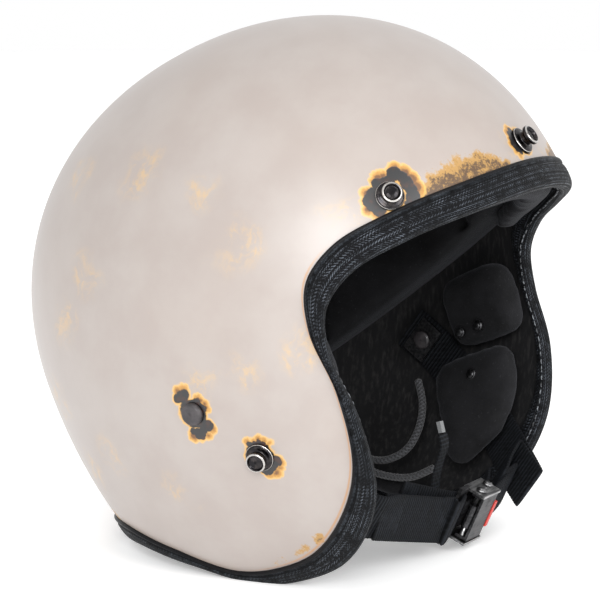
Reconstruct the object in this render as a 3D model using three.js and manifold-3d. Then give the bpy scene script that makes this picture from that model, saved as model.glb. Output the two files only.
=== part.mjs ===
// Open face motorcycle helmet with a padded lining, snap studs and a buckled chin strap.
// Millimetres. +Z is up, the face opening looks towards -Y and the wearer's right side is -X.
// The helmet lies on a table on its cheek corners and nape, so the shell is tipped back.

import * as THREE from 'three';
import Module from 'manifold-3d';
import { mergeVertices } from 'three/addons/utils/BufferGeometryUtils.js';

const wasm = await Module();
wasm.setup();

// ---------------------------------------------------------------- driving dimensions

const clearance = 0.3;

// The outside of the shell: a rounded dome above the ear line and a tapering skirt below it.
const shell = {
  halfWidth: 118,
  front: 135.6,
  back: 138.5,
  height: 131,
  sideRoundness: 2.14,
  planRoundness: 2.1,
  thickness: 3.5,
  // How far the skirt has drawn in 100 mm below the ear line, as a share of each half size.
  skirt: { side: [0.2075, 2.49], front: [0.084, 2], back: [0.132, 2] },
};
const tipBack = THREE.MathUtils.degToRad(25.35);
const restPlane = -121.1;

// The edge of the opening, from the middle of the brow round the right side to the nape, as
// azimuth from straight ahead and elevation from the ear line, in degrees.
const openingEdge = [
  [0, 0.3], [20, -0.3], [38, -1.1], [50, -3], [57.5, -8], [60.4, -17], [59.6, -30],
  [62, -44], [70, -53], [84, -58.5], [100, -58.4], [113, -55.2], [128, -44.3],
  [143, -35], [160, -30.9],
];
const napeElevation = -30.1;
// Lines on the shell are drawn from this crown point down to the opening edge.
const crownPoint = [180, 72];

// Stations round the opening edge, shared by the shell and its edge band.
const edgeSteps = 76;

// Faceted domes lie inside each other, so they need more room than flat pieces.
const linerGap = 1.2;
const crownPad = { outerDepth: 25.2, innerDepth: 31 };

const trim = { outside: 14.6, inside: 12, thickness: 1.6, gap: 0.55, shellEdge: 3.9 };

const snapStud = {
  flangeRadius: 6.5, flangeHeight: 1.1, waistRadius: 3.6, postRadius: 4.75, postHeight: 6.4,
  dimpleRadius: 2.8, dimpleDepth: 1.2, shankRadius: 2.4,
};
const studPlaces = {
  brow_stud_center: [0, 10.4],
  brow_stud_right: [37.6, 8.2],
  brow_stud_left: [-37.6, 8.2],
  side_stud_right: [84.9, -30.8],
  side_stud_left: [-84.9, -30.8],
};

const rivet = {
  azimuth: 95.2, elevation: -17.4, capRadius: 5.3, capHeight: 2.6,
  shankRadius: 2.4, tailRadius: 4.6, tailHeight: 1.4,
};
const anchor = { thickness: 1.2, width: 20, length: 13 };

const strap = { width: 24, thickness: 1.8, wallX: 107, wallTilt: 36 };

// The strap's middle line as [x, forward, down, tilt], with forward and down measured from the
// rivets' axis. Tilt is how far the webbing's width leans forward from upright, in degrees. The
// strap lies against the shell behind the cheek pad and then crosses under the chin.
const wallRun = [
  [-107, -8.1, -5.9, 36], [-107, 0, 0, 36], [-107, 7.3, 5.3, 36], [-103.8, 16.2, 11.8, 36],
  [-101.2, 24.3, 17.6, 36], [-97.8, 32.4, 23.5, 36], [-93.6, 40.5, 29.4, 36],
  [-88.6, 48.5, 35.3, 36], [-82.6, 56.6, 41.1, 36], [-77.2, 63.1, 45.8, 36],
];
const rightStrapLine = [
  ...wallRun,
  [-70, 66.8, 48.6, 32], [-62, 68, 50, 27], [-50, 68.3, 52.8, 21], [-37, 68.2, 56.2, 18],
  [-24, 68.4, 59.3, 18], [-12, 68.8, 61.8, 20], [-3, 69.2, 63.4, 22], [6.4, 69.5, 64.8, 24],
  [7.9, 69.1, 64.6, 24], [8.5, 68.2, 64.2, 24], [8.5, 66.8, 63.6, 24], [7.9, 65.9, 63.2, 24],
  [6.4, 65.5, 63, 24], [-3, 64.4, 60.6, 24], [-13, 62.6, 57.4, 24], [-24, 60.4, 54, 26],
];
const leftStrapLine = [
  ...wallRun.map(([x, ...rest]) => [-x, ...rest]),
  [70, 66.8, 48.6, 32], [61.5, 68.6, 50.6, 30], [53.5, 70.2, 54.2, 28], [45.5, 71.8, 59, 26],
  [37.5, 72.4, 64, 24], [28, 72.6, 66.2, 24], [25.9, 71.8, 65.8, 24], [25.1, 70, 65, 24],
  [26, 68.3, 64.2, 24], [28, 67.5, 63.9, 24], [35.5, 67, 63, 24], [44.5, 64, 59, 24],
];

// The buckle is drawn as (x, lift, rise): x across the face, rise outwards from the strap's
// middle and lift square to both. Middle is where it lies, forward and down from the rivets.
const buckle = {
  middle: [68.2, 64.2], slope: THREE.MathUtils.degToRad(24),
  left: 13, right: 31, innerWidth: 25, plate: 1.3, base: -3.4, wallTop: 8.4,
  pinRadius: 1.5, headRadius: 2.7, barX: 28, barRise: 2, pivotX: 17.5, pivotRise: 4,
};
const tongue = {
  bottom: -1.7, top: 0, tip: 23, neckHalfWidth: 8,
  toothTop: 1.2, toothPitch: 2.5, toothCount: 4,
  yoke: [3.6, 11.4], yokeHalfWidth: 15.5, slot: [6.9, 10.3], slotHalfWidth: 12.5,
};
const lever = {
  left: 15, right: 30, bottom: 6.7, top: 8, halfWidth: 12, earInside: 10.6, earRadius: 2.5,
};
const pawl = { front: 20.7, back: 23.7, tip: 1.5, halfWidth: 7 };
const redTab = { from: 30.3, to: 33, halfWidth: 7, overLever: 0.4 };

// The pull strip stands up inside the strap, as [x, forward, down].
const pullStripLine = [[2, 61.4, 56], [3, 60.4, 48], [5, 61, 40], [7, 63, 30], [7.5, 61.4, 25]];
const pullStrip = { width: 8, thickness: 1.4, tipWidth: 3.4, tipLength: 5.5, tipThickness: 2 };

const liningSnap = { radius: 3, height: 1.5 };
const liningSnapPlaces = {
  upper_front: { azimuth: 72, elevation: -21.5, depth: 24.3 },
  upper_rear: { azimuth: 79, elevation: -21.5, depth: 24.3 },
  lower: { azimuth: 76, elevation: -34, depth: 28.8 },
};
const piping = { radius: 2, depth: 24 };
// The middle lines of the two piped seams, as azimuth and elevation.
const pipingRuns = {
  upper: [[97, -29], [97.5, -36], [101, -42], [107, -45.5], [116, -45], [128, -36]],
  lower: [[97, -53.5], [107, -53], [116, -49.5], [124, -43.5]],
};

// ---------------------------------------------------------------- materials

const finishes = {
  paint: { color: 0xded8cc, roughness: 0.42, metalness: 0 },
  foam: { color: 0x2b2b2d, roughness: 0.95, metalness: 0 },
  velvet: { color: 0x17171a, roughness: 0.95, metalness: 0 },
  band: { color: 0x1d1e22, roughness: 0.85, metalness: 0 },
  webbing: { color: 0x202126, roughness: 0.8, metalness: 0 },
  nickel: { color: 0xb9bcc0, roughness: 0.25, metalness: 1 },
  darkSteel: { color: 0x3a3c40, roughness: 0.35, metalness: 0.9 },
  blackPaint: { color: 0x1a1a1b, roughness: 0.5, metalness: 0.1 },
  redPlastic: { color: 0xa8231c, roughness: 0.45, metalness: 0 },
};

const helmet = new THREE.Group();
helmet.name = 'open_face_helmet';

function addPiece(name, finish, geometry) {
  const mesh = new THREE.Mesh(geometry, new THREE.MeshStandardMaterial(finishes[finish]));
  mesh.name = name;
  helmet.add(mesh);
}

// ---------------------------------------------------------------- solids

function signedVolume(positions, triangles) {
  let volume = 0;
  const a = new THREE.Vector3();
  const b = new THREE.Vector3();
  const c = new THREE.Vector3();
  for (let i = 0; i < triangles.length; i += 3) {
    a.fromArray(positions, 3 * triangles[i]);
    b.fromArray(positions, 3 * triangles[i + 1]);
    c.fromArray(positions, 3 * triangles[i + 2]);
    volume += a.dot(b.cross(c)) / 6;
  }
  return volume;
}

function solidFrom(positions, triangles) {
  if (signedVolume(positions, triangles) < 0) {
    triangles.reverse();
  }
  const geometry = new THREE.BufferGeometry();
  geometry.setAttribute('position', new THREE.Float32BufferAttribute(positions, 3));
  geometry.setIndex(triangles);
  geometry.computeVertexNormals();
  return geometry;
}

// Skins a row of closed loops of equal length. The two ends are closed by fans, or joined to
// each other when the row itself is a ring.
function loft(loops, ring = false) {
  const around = loops[0].length;
  const positions = loops.flat().flatMap((point) => point.toArray());
  const triangles = [];
  const steps = ring ? loops.length : loops.length - 1;
  for (let i = 0; i < steps; i += 1) {
    const row = i * around;
    const next = ((i + 1) % loops.length) * around;
    for (let j = 0; j < around; j += 1) {
      const k = (j + 1) % around;
      triangles.push(row + j, next + j, next + k, row + j, next + k, row + k);
    }
  }
  if (!ring) {
    closeEnd(positions, triangles, loops[0], 0, false);
    closeEnd(positions, triangles, loops.at(-1), (loops.length - 1) * around, true);
  }
  return solidFrom(positions, triangles);
}

function closeEnd(positions, triangles, loop, start, last) {
  const middle = new THREE.Vector3();
  loop.forEach((point) => middle.add(point));
  middle.divideScalar(loop.length);
  const hub = positions.length / 3;
  positions.push(...middle.toArray());
  for (let j = 0; j < loop.length; j += 1) {
    const k = (j + 1) % loop.length;
    triangles.push(hub, start + (last ? k : j), start + (last ? j : k));
  }
}

function toManifold(geometry) {
  const plain = geometry.clone();
  plain.deleteAttribute('normal');
  plain.deleteAttribute('uv');
  const merged = mergeVertices(plain, 1e-4);
  const vertProperties = new Float32Array(merged.attributes.position.array);
  const triVerts = new Uint32Array(merged.index.array);
  return new wasm.Manifold(new wasm.Mesh({ numProp: 3, vertProperties, triVerts }));
}

function fromManifold(body) {
  const mesh = body.getMesh();
  return solidFrom(Array.from(mesh.vertProperties), Array.from(mesh.triVerts));
}

function cut(geometry, tools) {
  const body = tools.reduce((left, tool) => left.subtract(toManifold(tool)), toManifold(geometry));
  return fromManifold(body);
}

function unite(parts) {
  const body = parts.map(toManifold).reduce((all, next) => all.add(next));
  return fromManifold(body);
}

// A turned body about the local Z axis from [radius, height] pairs that start and end on it.
function turned(profile, segments = 18) {
  const outline = profile.map(([radius, height]) => new THREE.Vector2(radius, height));
  const geometry = new THREE.LatheGeometry(outline, segments);
  geometry.rotateX(Math.PI / 2);
  return geometry;
}

function rod(radius, length, segments = 16) {
  return turned([[0, 0], [radius, 0], [radius, length], [0, length]], segments);
}

// Turns local Z to the given direction and moves the origin to the given point.
function aimed(geometry, point, direction) {
  const turn = new THREE.Quaternion().setFromUnitVectors(new THREE.Vector3(0, 0, 1), direction);
  return geometry.applyQuaternion(turn).translate(point.x, point.y, point.z);
}

// The tool for a running hole round a shank of this radius, centred on a point.
function drill(radius, point, direction, length = 30) {
  const tool = rod(radius + clearance, length).translate(0, 0, -length / 2);
  return aimed(tool, point, direction);
}

// ---------------------------------------------------------------- the shell surface

function directionOf(azimuth, elevation) {
  const a = THREE.MathUtils.degToRad(azimuth);
  const e = THREE.MathUtils.degToRad(elevation);
  return new THREE.Vector3(-Math.sin(a) * Math.cos(e), -Math.cos(a) * Math.cos(e), Math.sin(e));
}

// Above 1 outside the shell, below 1 inside it, for a point in the shell's own level frame.
function shellLevel(x, y, z) {
  const [sideRate, sidePower] = shell.skirt.side;
  const [endRate, endPower] = y < 0 ? shell.skirt.front : shell.skirt.back;
  const drop = Math.max(0, -z / 100);
  const width = shell.halfWidth * (1 - sideRate * drop ** sidePower);
  const length = (y < 0 ? shell.front : shell.back) * (1 - endRate * drop ** endPower);
  const p = shell.planRoundness;
  const plan = ((Math.abs(x) / width) ** p + (Math.abs(y) / length) ** p) ** (1 / p);
  const n = shell.sideRoundness;
  return (plan ** n + (Math.max(0, z) / shell.height) ** n) ** (1 / n);
}

function shellReach(direction) {
  let near = 40;
  let far = 190;
  for (let i = 0; i < 36; i += 1) {
    const middle = (near + far) / 2;
    const level = shellLevel(direction.x * middle, direction.y * middle, direction.z * middle);
    if (level > 1) {
      far = middle;
    } else {
      near = middle;
    }
  }
  return (near + far) / 2;
}

function tipped(vector) {
  return vector.applyAxisAngle(new THREE.Vector3(1, 0, 0), -tipBack);
}

function outwardAt(point) {
  const step = 0.05;
  const slope = (dx, dy, dz) => shellLevel(point.x + dx, point.y + dy, point.z + dz)
    - shellLevel(point.x - dx, point.y - dy, point.z - dz);
  return new THREE.Vector3(slope(step, 0, 0), slope(0, step, 0), slope(0, 0, step)).normalize();
}

// The point this deep under the outer surface, tipped back as the helmet lies.
function wallPoint(direction, depth) {
  const point = direction.clone().multiplyScalar(shellReach(direction));
  return tipped(point.addScaledVector(outwardAt(point), -depth));
}

function wallNormal(direction) {
  return tipped(outwardAt(direction.clone().multiplyScalar(shellReach(direction))));
}

// ---------------------------------------------------------------- the opening edge

const crown = directionOf(...crownPoint);

function makeEdgeCurve() {
  const right = openingEdge.map(([azimuth, elevation]) => directionOf(azimuth, elevation));
  const left = openingEdge.slice(1).reverse().map(([a, e]) => directionOf(-a, e));
  const points = [...right, directionOf(180, napeElevation), ...left];
  return new THREE.CatmullRomCurve3(points, true, 'centripetal');
}

const edgeCurve = makeEdgeCurve();
edgeCurve.arcLengthDivisions = 800;

// Direction of a place set in from the opening edge. Turn 0 is mid brow, 0.25 is about the
// right cheek, 0.5 is the nape. Back is the distance in from the edge along the wall.
function edgeDirection(turn, back) {
  const edge = edgeCurve.getPointAt(((turn % 1) + 1) % 1).normalize();
  const sweep = crown.angleTo(edge);
  const share = 1 - back / shellReach(edge) / sweep;
  const a = Math.sin((1 - share) * sweep) / Math.sin(sweep);
  const b = Math.sin(share * sweep) / Math.sin(sweep);
  return crown.clone().multiplyScalar(a).addScaledVector(edge, b).normalize();
}

function edgePoint(turn, back, depth) {
  return wallPoint(edgeDirection(turn, back), depth);
}

function range(count, from, to) {
  return Array.from({ length: count }, (_, i) => from + (to - from) * i / (count - 1));
}

function turns(count) {
  return Array.from({ length: count }, (_, i) => i / count);
}

// ---------------------------------------------------------------- shell, liner and trim

function makeShell() {
  const around = turns(edgeSteps);
  const reach = (turn) => {
    const edge = edgeCurve.getPointAt(turn).normalize();
    return crown.angleTo(edge) * shellReach(edge);
  };
  const underBand = trim.outside + 3;
  const domeLoop = (share, depth) => around.map((turn) => (
    edgePoint(turn, underBand + (1 - share) * (reach(turn) - underBand), depth)));
  const edgeLoop = (back, depth) => around.map((turn) => edgePoint(turn, back, depth));
  const layer = (depth) => [
    ...range(11, 0.06, 1).map((share) => domeLoop(share, depth)),
    ...[trim.outside, trim.inside, trim.shellEdge].map((back) => edgeLoop(back, depth)),
  ];
  const outer = layer(0);
  const inner = layer(shell.thickness).reverse();
  const studHoles = Object.values(studPlaces).map(([azimuth, elevation]) => {
    const direction = directionOf(azimuth, elevation);
    return drill(snapStud.shankRadius, wallPoint(direction, 0), wallNormal(direction));
  });
  const rivetHoles = [-1, 1].map((side) => drill(rivet.shankRadius, rivetCentre(side), xAxis()));
  return cut(loft([...outer, ...inner]), [...studHoles, ...rivetHoles]);
}

function linerEdge(azimuth) {
  return -4 + 12.5 * Math.cos(THREE.MathUtils.degToRad(azimuth));
}

// A dome under the shell between two depths, from the top down to an edge round the head.
function makeDome(outerDepth, innerDepth, edgeAt, around, down) {
  const azimuths = turns(around).map((turn) => 360 * turn);
  const loopAt = (share, depth) => azimuths.map((azimuth) => {
    const elevation = 90 + share * (edgeAt(azimuth) - 90);
    return wallPoint(directionOf(azimuth, elevation), depth);
  });
  const shares = range(down, 0.08, 1);
  const outer = shares.map((share) => loopAt(share, outerDepth));
  const inner = shares.map((share) => loopAt(share, innerDepth)).reverse();
  return loft([...outer, ...inner]);
}

// One half of the quilted lining, which is sewn together along the middle of the head.
function makeCrownHalf(side) {
  const edge = (azimuth) => linerEdge(azimuth) + 5;
  const dome = makeDome(crownPad.outerDepth, crownPad.innerDepth, edge, 32, 6);
  const reach = 300;
  const rest = new THREE.BoxGeometry(reach, reach, reach);
  return cut(dome, [rest.translate(side * (clearance / 2 - reach / 2), 0, 0)]);
}

function makeTrim() {
  const skin = trim.thickness;
  const outer = -trim.gap;
  const inner = shell.thickness + trim.gap;
  const floor = trim.shellEdge - trim.gap;
  // The band's section as [back from the edge, depth]: over the outside, round the edge, back
  // along the inside, and then the channel that the shell's edge sits in.
  const section = [
    [trim.outside, outer], [trim.outside - 0.5, outer - 0.6 * skin],
    [trim.outside - 2.5, outer - skin], [3, outer - skin],
    [0.9, -0.8], [0, shell.thickness / 2], [0.9, inner + 0.6],
    [3, inner + skin], [trim.inside - 1.5, inner + skin],
    [trim.inside, inner + 0.5 * skin], [trim.inside, inner],
    [floor, inner], [floor, outer], [trim.inside, outer],
  ];
  const loops = turns(edgeSteps).map((turn) => section.map(([back, depth]) => {
    const point = edgePoint(turn, back, depth);
    point.z = Math.max(point.z, restPlane);
    return point;
  }));
  return loft(loops, true);
}

// ---------------------------------------------------------------- pads

// A pillow against the wall. Place gives the direction for shares from -1 to 1 along the pillow
// and across it.
function makePad(place, { depth, square = 0.45, lengthwise = 11, around = 12 }) {
  const power = (value, exponent) => Math.sign(value) * Math.abs(value) ** exponent;
  const loops = range(lengthwise, -0.97, 0.97).map((along) => {
    const full = (1 - Math.abs(along) ** 5) ** (1 / 5);
    return turns(around).map((turn) => {
      const angle = 2 * Math.PI * turn;
      const across = full * power(Math.cos(angle), square);
      const through = full * power(Math.sin(angle), square);
      return wallPoint(place(along, across), between(depth, through));
    });
  });
  return loft(loops);
}

// From the first of two values at share -1 to the second at share 1.
function between([first, last], share) {
  return (first + last) / 2 + share * (last - first) / 2;
}

// A place on a strip that follows the opening edge.
function alongEdge({ turn, back }) {
  return (along, across) => edgeDirection(between(turn, along), between(back, across));
}

// Elevation of the opening edge under the cheek, on the right side.
function lowerEdge(azimuth) {
  const points = openingEdge.slice(openingEdge.findIndex(([a]) => a === 62));
  const next = points.findIndex(([a]) => a > azimuth);
  const [[a0, e0], [a1, e1]] = points.slice(next - 1, next + 1);
  return e0 + (e1 - e0) * (azimuth - a0) / (a1 - a0);
}

// A place on a level patch at the side of the head, kept clear of the opening's lower edge.
function onSide(side, { azimuth, elevation }) {
  return (along, across) => {
    const a = between(azimuth, along);
    const low = Math.max(elevation[0], lowerEdge(Math.max(a, 62)) + edgeMargin);
    return directionOf(side * -a, between([low, elevation[1]], across));
  };
}

const underTrim = shell.thickness + trim.gap + trim.thickness + clearance;
const behindStrap = 14.4;
const edgeMargin = 3.4;
const browPad = { turn: [-0.136, 0.136], back: [1, 14.5], depth: [underTrim, 27], lengthwise: 21 };
const neckRoll = { turn: [0.325, 0.675], back: [1, 26], depth: [underTrim, 21.7], lengthwise: 25 };
const templePad = { azimuth: [60.4, 84], elevation: [-25.6, -6.4], depth: [underTrim, 24] };
const cheekPad = { azimuth: [62, 93], elevation: [-60, -27], depth: [behindStrap, 28.5] };

// ---------------------------------------------------------------- studs and rivets

function makeStud([azimuth, elevation]) {
  const s = snapStud;
  const base = clearance;
  const foot = clearance - shell.thickness;
  const profile = [
    [0, foot], [s.shankRadius, foot], [s.shankRadius, base], [s.flangeRadius, base],
    [s.flangeRadius, base + 0.5], [s.flangeRadius - 1.2, base + s.flangeHeight],
    [s.waistRadius, base + 1.6], [s.waistRadius, s.postHeight - 2.6], [s.postRadius, s.postHeight - 1.7],
    [s.postRadius, s.postHeight - 0.5], [s.postRadius - 0.5, s.postHeight],
    [s.dimpleRadius, s.postHeight], [s.dimpleRadius - 0.7, s.postHeight - s.dimpleDepth],
    [0, s.postHeight - s.dimpleDepth + 0.5],
  ];
  const direction = directionOf(azimuth, elevation);
  return aimed(turned(profile), wallPoint(direction, 0), wallNormal(direction));
}

function rivetCentre(side) {
  const centre = wallPoint(directionOf(rivet.azimuth, rivet.elevation), 0);
  centre.x = side * Math.abs(centre.x);
  return centre;
}

function xAxis(sign = 1) {
  return new THREE.Vector3(sign, 0, 0);
}

function makeRivet(side) {
  const centre = rivetCentre(side);
  const direction = directionOf(side * -rivet.azimuth, rivet.elevation);
  const cap = turned([
    [0, clearance], [rivet.capRadius, clearance], [rivet.capRadius, rivet.capHeight - 0.9],
    [rivet.capRadius - 0.9, rivet.capHeight], [0, rivet.capHeight],
  ]);
  const tailFace = strap.wallX - strap.thickness / 2 - anchor.thickness - 2 * clearance;
  const tailTop = rivet.tailHeight;
  const shankEnd = tailTop + Math.abs(centre.x) + 1.5 - tailFace;
  const foot = new THREE.Vector3(side * (tailFace - tailTop), centre.y, centre.z);
  const tail = turned([
    [0, 0], [rivet.tailRadius - 0.5, 0], [rivet.tailRadius, 0.5], [rivet.tailRadius, tailTop],
    [rivet.shankRadius, tailTop], [rivet.shankRadius, shankEnd], [0, shankEnd],
  ]);
  return unite([aimed(cap, centre, wallNormal(direction)), aimed(tail, foot, xAxis(side))]);
}

// ---------------------------------------------------------------- chin strap

// The point at x, this far forward of and below the rivets' axis.
function hungPoint(x, forward, down) {
  const axis = rivetCentre(1);
  return new THREE.Vector3(x, axis.y - forward, axis.z - down);
}

// The direction across the webbing where it leans this far forward from upright, in degrees.
function leaning(tilt) {
  const angle = THREE.MathUtils.degToRad(tilt);
  return new THREE.Vector3(0, -Math.sin(angle), Math.cos(angle));
}

// Moves geometry drawn as (x, lift, rise) to a middle given forward and down from the rivets.
function inFrame(geometry, [forward, down], slope) {
  const lift = new THREE.Vector3(0, -Math.sin(slope), Math.cos(slope));
  const rise = new THREE.Vector3(0, -Math.cos(slope), -Math.sin(slope));
  const frame = new THREE.Matrix4().makeBasis(xAxis(), lift, rise);
  return geometry.applyMatrix4(frame.setPosition(hungPoint(0, forward, down)));
}

function inBuckleFrame(geometry) {
  return inFrame(geometry, buckle.middle, buckle.slope);
}

// A flat band whose stations are { centre, width, thickness }, with width as a vector half
// across it.
function makeBand(stations, thickness) {
  const centres = stations.map(({ centre }) => centre);
  const loops = stations.map(({ centre, width }, i) => {
    const before = centres[Math.max(i - 1, 0)];
    const after = centres[Math.min(i + 1, centres.length - 1)];
    const normal = after.clone().sub(before).cross(width).normalize();
    return [[-1, -1], [1, -1], [1, 1], [-1, 1]].map(([across, through]) => (
      centre.clone().addScaledVector(width, across)
        .addScaledVector(normal, through * thickness / 2)));
  });
  return loft(loops);
}

// Evenly spread samples of a smooth curve through points, with a last value carried along.
function alongLine(points, perPoint) {
  const curve = new THREE.CatmullRomCurve3(
    points.map(([x, forward, down]) => hungPoint(x, forward, down)), false, 'centripetal');
  const count = perPoint * (points.length - 1) + 1;
  return range(count, 0, 1).map((share) => {
    const place = share * (points.length - 1);
    const i = Math.min(Math.floor(place), points.length - 2);
    const [tilt, nextTilt] = [points[i][3], points[i + 1][3]];
    return { centre: curve.getPoint(share), tilt: tilt + (place - i) * (nextTilt - tilt) };
  });
}

function makeStrap(line, side) {
  const stations = alongLine(line, 3).map(({ centre, tilt }) => (
    { centre, width: leaning(tilt).multiplyScalar(strap.width / 2) }));
  const rivetAt = hungPoint(side * strap.wallX, 0, 0);
  const hole = drill(rivet.shankRadius, rivetAt, xAxis());
  return cut(makeBand(stations, strap.thickness), [hole]);
}

function makeAnchor(side) {
  const middle = strap.wallX - strap.thickness / 2 - clearance - anchor.thickness / 2;
  const plate = new THREE.BoxGeometry(anchor.thickness, anchor.width, anchor.length);
  plate.translate(side * middle, 0, 0);
  const hole = drill(rivet.shankRadius, new THREE.Vector3(side * middle, 0, 0), xAxis());
  return inFrame(cut(plate, [hole]), [0, 0], THREE.MathUtils.degToRad(strap.wallTilt));
}

// ---------------------------------------------------------------- buckle

// A block from opposite corners given as (x, lift, rise).
function block(low, high) {
  const size = high.map((value, i) => value - low[i]);
  const geometry = new THREE.BoxGeometry(...size);
  return geometry.translate(...low.map((value, i) => value + size[i] / 2));
}

// A round bar across the strap, centred on the buckle.
function crossBar(radius, length, x, rise) {
  const bar = rod(radius, length).translate(0, 0, -length / 2);
  return aimed(bar, new THREE.Vector3(x, 0, rise), new THREE.Vector3(0, 1, 0));
}

function makePin(x, rise) {
  const b = buckle;
  const half = b.innerWidth / 2 + b.plate + clearance;
  const profile = [
    [0, -half - 1], [b.headRadius, -half - 1], [b.headRadius, -half], [b.pinRadius, -half],
    [b.pinRadius, half], [b.headRadius, half], [b.headRadius, half + 1], [0, half + 1],
  ];
  const pin = turned(profile, 16);
  return inBuckleFrame(aimed(pin, new THREE.Vector3(x, 0, rise), new THREE.Vector3(0, 1, 0)));
}

function makeFrame() {
  const b = buckle;
  const half = b.innerWidth / 2;
  const body = unite([
    block([b.left, -half - b.plate, b.base], [b.right, half + b.plate, b.base + b.plate]),
    block([b.left, -half - b.plate, b.base], [b.right, -half, b.wallTop]),
    block([b.left, half, b.base], [b.right, half + b.plate, b.wallTop]),
  ]);
  const bore = b.pinRadius + clearance;
  return inBuckleFrame(cut(body, [
    crossBar(bore, 40, b.barX, b.barRise),
    crossBar(bore, 40, b.pivotX, b.pivotRise),
  ]));
}

function makeTongue() {
  const t = tongue;
  const body = unite([
    block([t.yoke[0], -t.yokeHalfWidth, t.bottom], [t.yoke[1], t.yokeHalfWidth, t.top]),
    block([t.yoke[1] - 0.5, -t.neckHalfWidth, t.bottom], [t.tip, t.neckHalfWidth, t.top]),
    ...range(t.toothCount, 0, t.toothCount - 1).map(makeTooth),
  ]);
  const slot = block(
    [t.slot[0], -t.slotHalfWidth, t.bottom - 1],
    [t.slot[1], t.slotHalfWidth, t.top + 1],
  );
  return inBuckleFrame(cut(body, [slot]));
}

// A saw tooth whose steep side faces the yoke, so the pawl lets the tongue in and not out.
function makeTooth(index) {
  const t = tongue;
  const start = t.tip - 1 - (index + 1) * t.toothPitch;
  const side = new THREE.Shape([
    new THREE.Vector2(start, t.top - 0.4),
    new THREE.Vector2(start + t.toothPitch - 0.1, t.top - 0.4),
    new THREE.Vector2(start + t.toothPitch - 0.1, t.top),
    new THREE.Vector2(start, t.toothTop),
  ]);
  const width = 2 * t.neckHalfWidth - 2;
  const tooth = new THREE.ExtrudeGeometry(side, { depth: width, bevelEnabled: false });
  return tooth.translate(0, 0, -width / 2).rotateX(Math.PI / 2);
}

function makeLever() {
  const l = lever;
  const pivot = [buckle.pivotX, buckle.pivotRise];
  const ears = [-1, 1].map((side) => {
    const faces = [side * l.halfWidth, side * l.earInside];
    return block(
      [pivot[0] - l.earRadius, Math.min(...faces), pivot[1] - l.earRadius],
      [pivot[0] + l.earRadius, Math.max(...faces), l.top],
    );
  });
  const body = unite([
    block([l.left, -l.halfWidth, l.bottom], [l.right, l.halfWidth, l.top]),
    block([pawl.front, -pawl.halfWidth, pawl.tip], [pawl.back, pawl.halfWidth, l.top]),
    ...ears,
  ]);
  return inBuckleFrame(cut(body, [crossBar(buckle.pinRadius + clearance, 40, ...pivot)]));
}

function makeLeverSpring() {
  const inside = buckle.pinRadius + clearance;
  const ring = [[inside, -6], [inside + 0.9, -6], [inside + 0.9, 6], [inside, 6], [inside, -6]];
  const at = new THREE.Vector3(buckle.pivotX, 0, buckle.pivotRise);
  return inBuckleFrame(aimed(turned(ring, 16), at, new THREE.Vector3(0, 1, 0)));
}

function makeRedTab() {
  const low = [redTab.from, -redTab.halfWidth, lever.bottom - redTab.overLever];
  const high = [redTab.to, redTab.halfWidth, lever.top + redTab.overLever];
  return inBuckleFrame(block(low, high));
}

function makePullStrip() {
  const width = xAxis(pullStrip.width / 2);
  const stations = alongLine(pullStripLine, 3).map(({ centre }) => ({ centre, width }));
  return makeBand(stations, pullStrip.thickness);
}

function makePullTip() {
  const p = pullStrip;
  const [before, end] = pullStripLine.slice(-2).map((place) => hungPoint(...place));
  const along = end.clone().sub(before).normalize();
  const tip = new THREE.BoxGeometry(p.tipWidth, p.tipThickness, p.tipLength);
  tip.translate(0, 0, p.tipLength / 2 + clearance);
  return aimed(tip, end, along);
}

// ---------------------------------------------------------------- lining trim

function makeLiningSnap(side, { azimuth, elevation, depth }) {
  const s = liningSnap;
  const direction = directionOf(side * -azimuth, elevation);
  const profile = [
    [0, 0], [s.radius, 0], [s.radius, s.height - 0.6], [s.radius - 0.8, s.height], [0, s.height],
  ];
  return aimed(turned(profile, 16), wallPoint(direction, depth), wallNormal(direction).negate());
}

function makePiping(side, places) {
  const directions = places.map(([azimuth, elevation]) => directionOf(side * -azimuth, elevation));
  const curve = new THREE.CatmullRomCurve3(directions, false, 'centripetal');
  const loops = range(17, 0, 1).map((share) => {
    const direction = curve.getPoint(share).normalize();
    const centre = wallPoint(direction, piping.depth);
    const outward = wallNormal(direction);
    const ahead = wallPoint(curve.getPoint(Math.min(1, share + 0.01)).normalize(), piping.depth);
    const behind = wallPoint(curve.getPoint(Math.max(0, share - 0.01)).normalize(), piping.depth);
    const across = ahead.sub(behind).cross(outward).normalize();
    return turns(8).map((turn) => centre.clone()
      .addScaledVector(across, piping.radius * Math.cos(2 * Math.PI * turn))
      .addScaledVector(outward, piping.radius * Math.sin(2 * Math.PI * turn)));
  });
  return loft(loops);
}

// ---------------------------------------------------------------- assembly

addPiece('outer_shell', 'paint', makeShell());
const linerDepths = [shell.thickness + linerGap, crownPad.outerDepth - linerGap];
addPiece('impact_liner', 'foam', makeDome(...linerDepths, linerEdge, 40, 8));
addPiece('edge_trim', 'band', makeTrim());
addPiece('brow_pad', 'velvet', makePad(alongEdge(browPad), browPad));
addPiece('neck_roll', 'velvet', makePad(alongEdge(neckRoll), neckRoll));
Object.entries(studPlaces).forEach(([name, place]) => addPiece(name, 'nickel', makeStud(place)));

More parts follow.
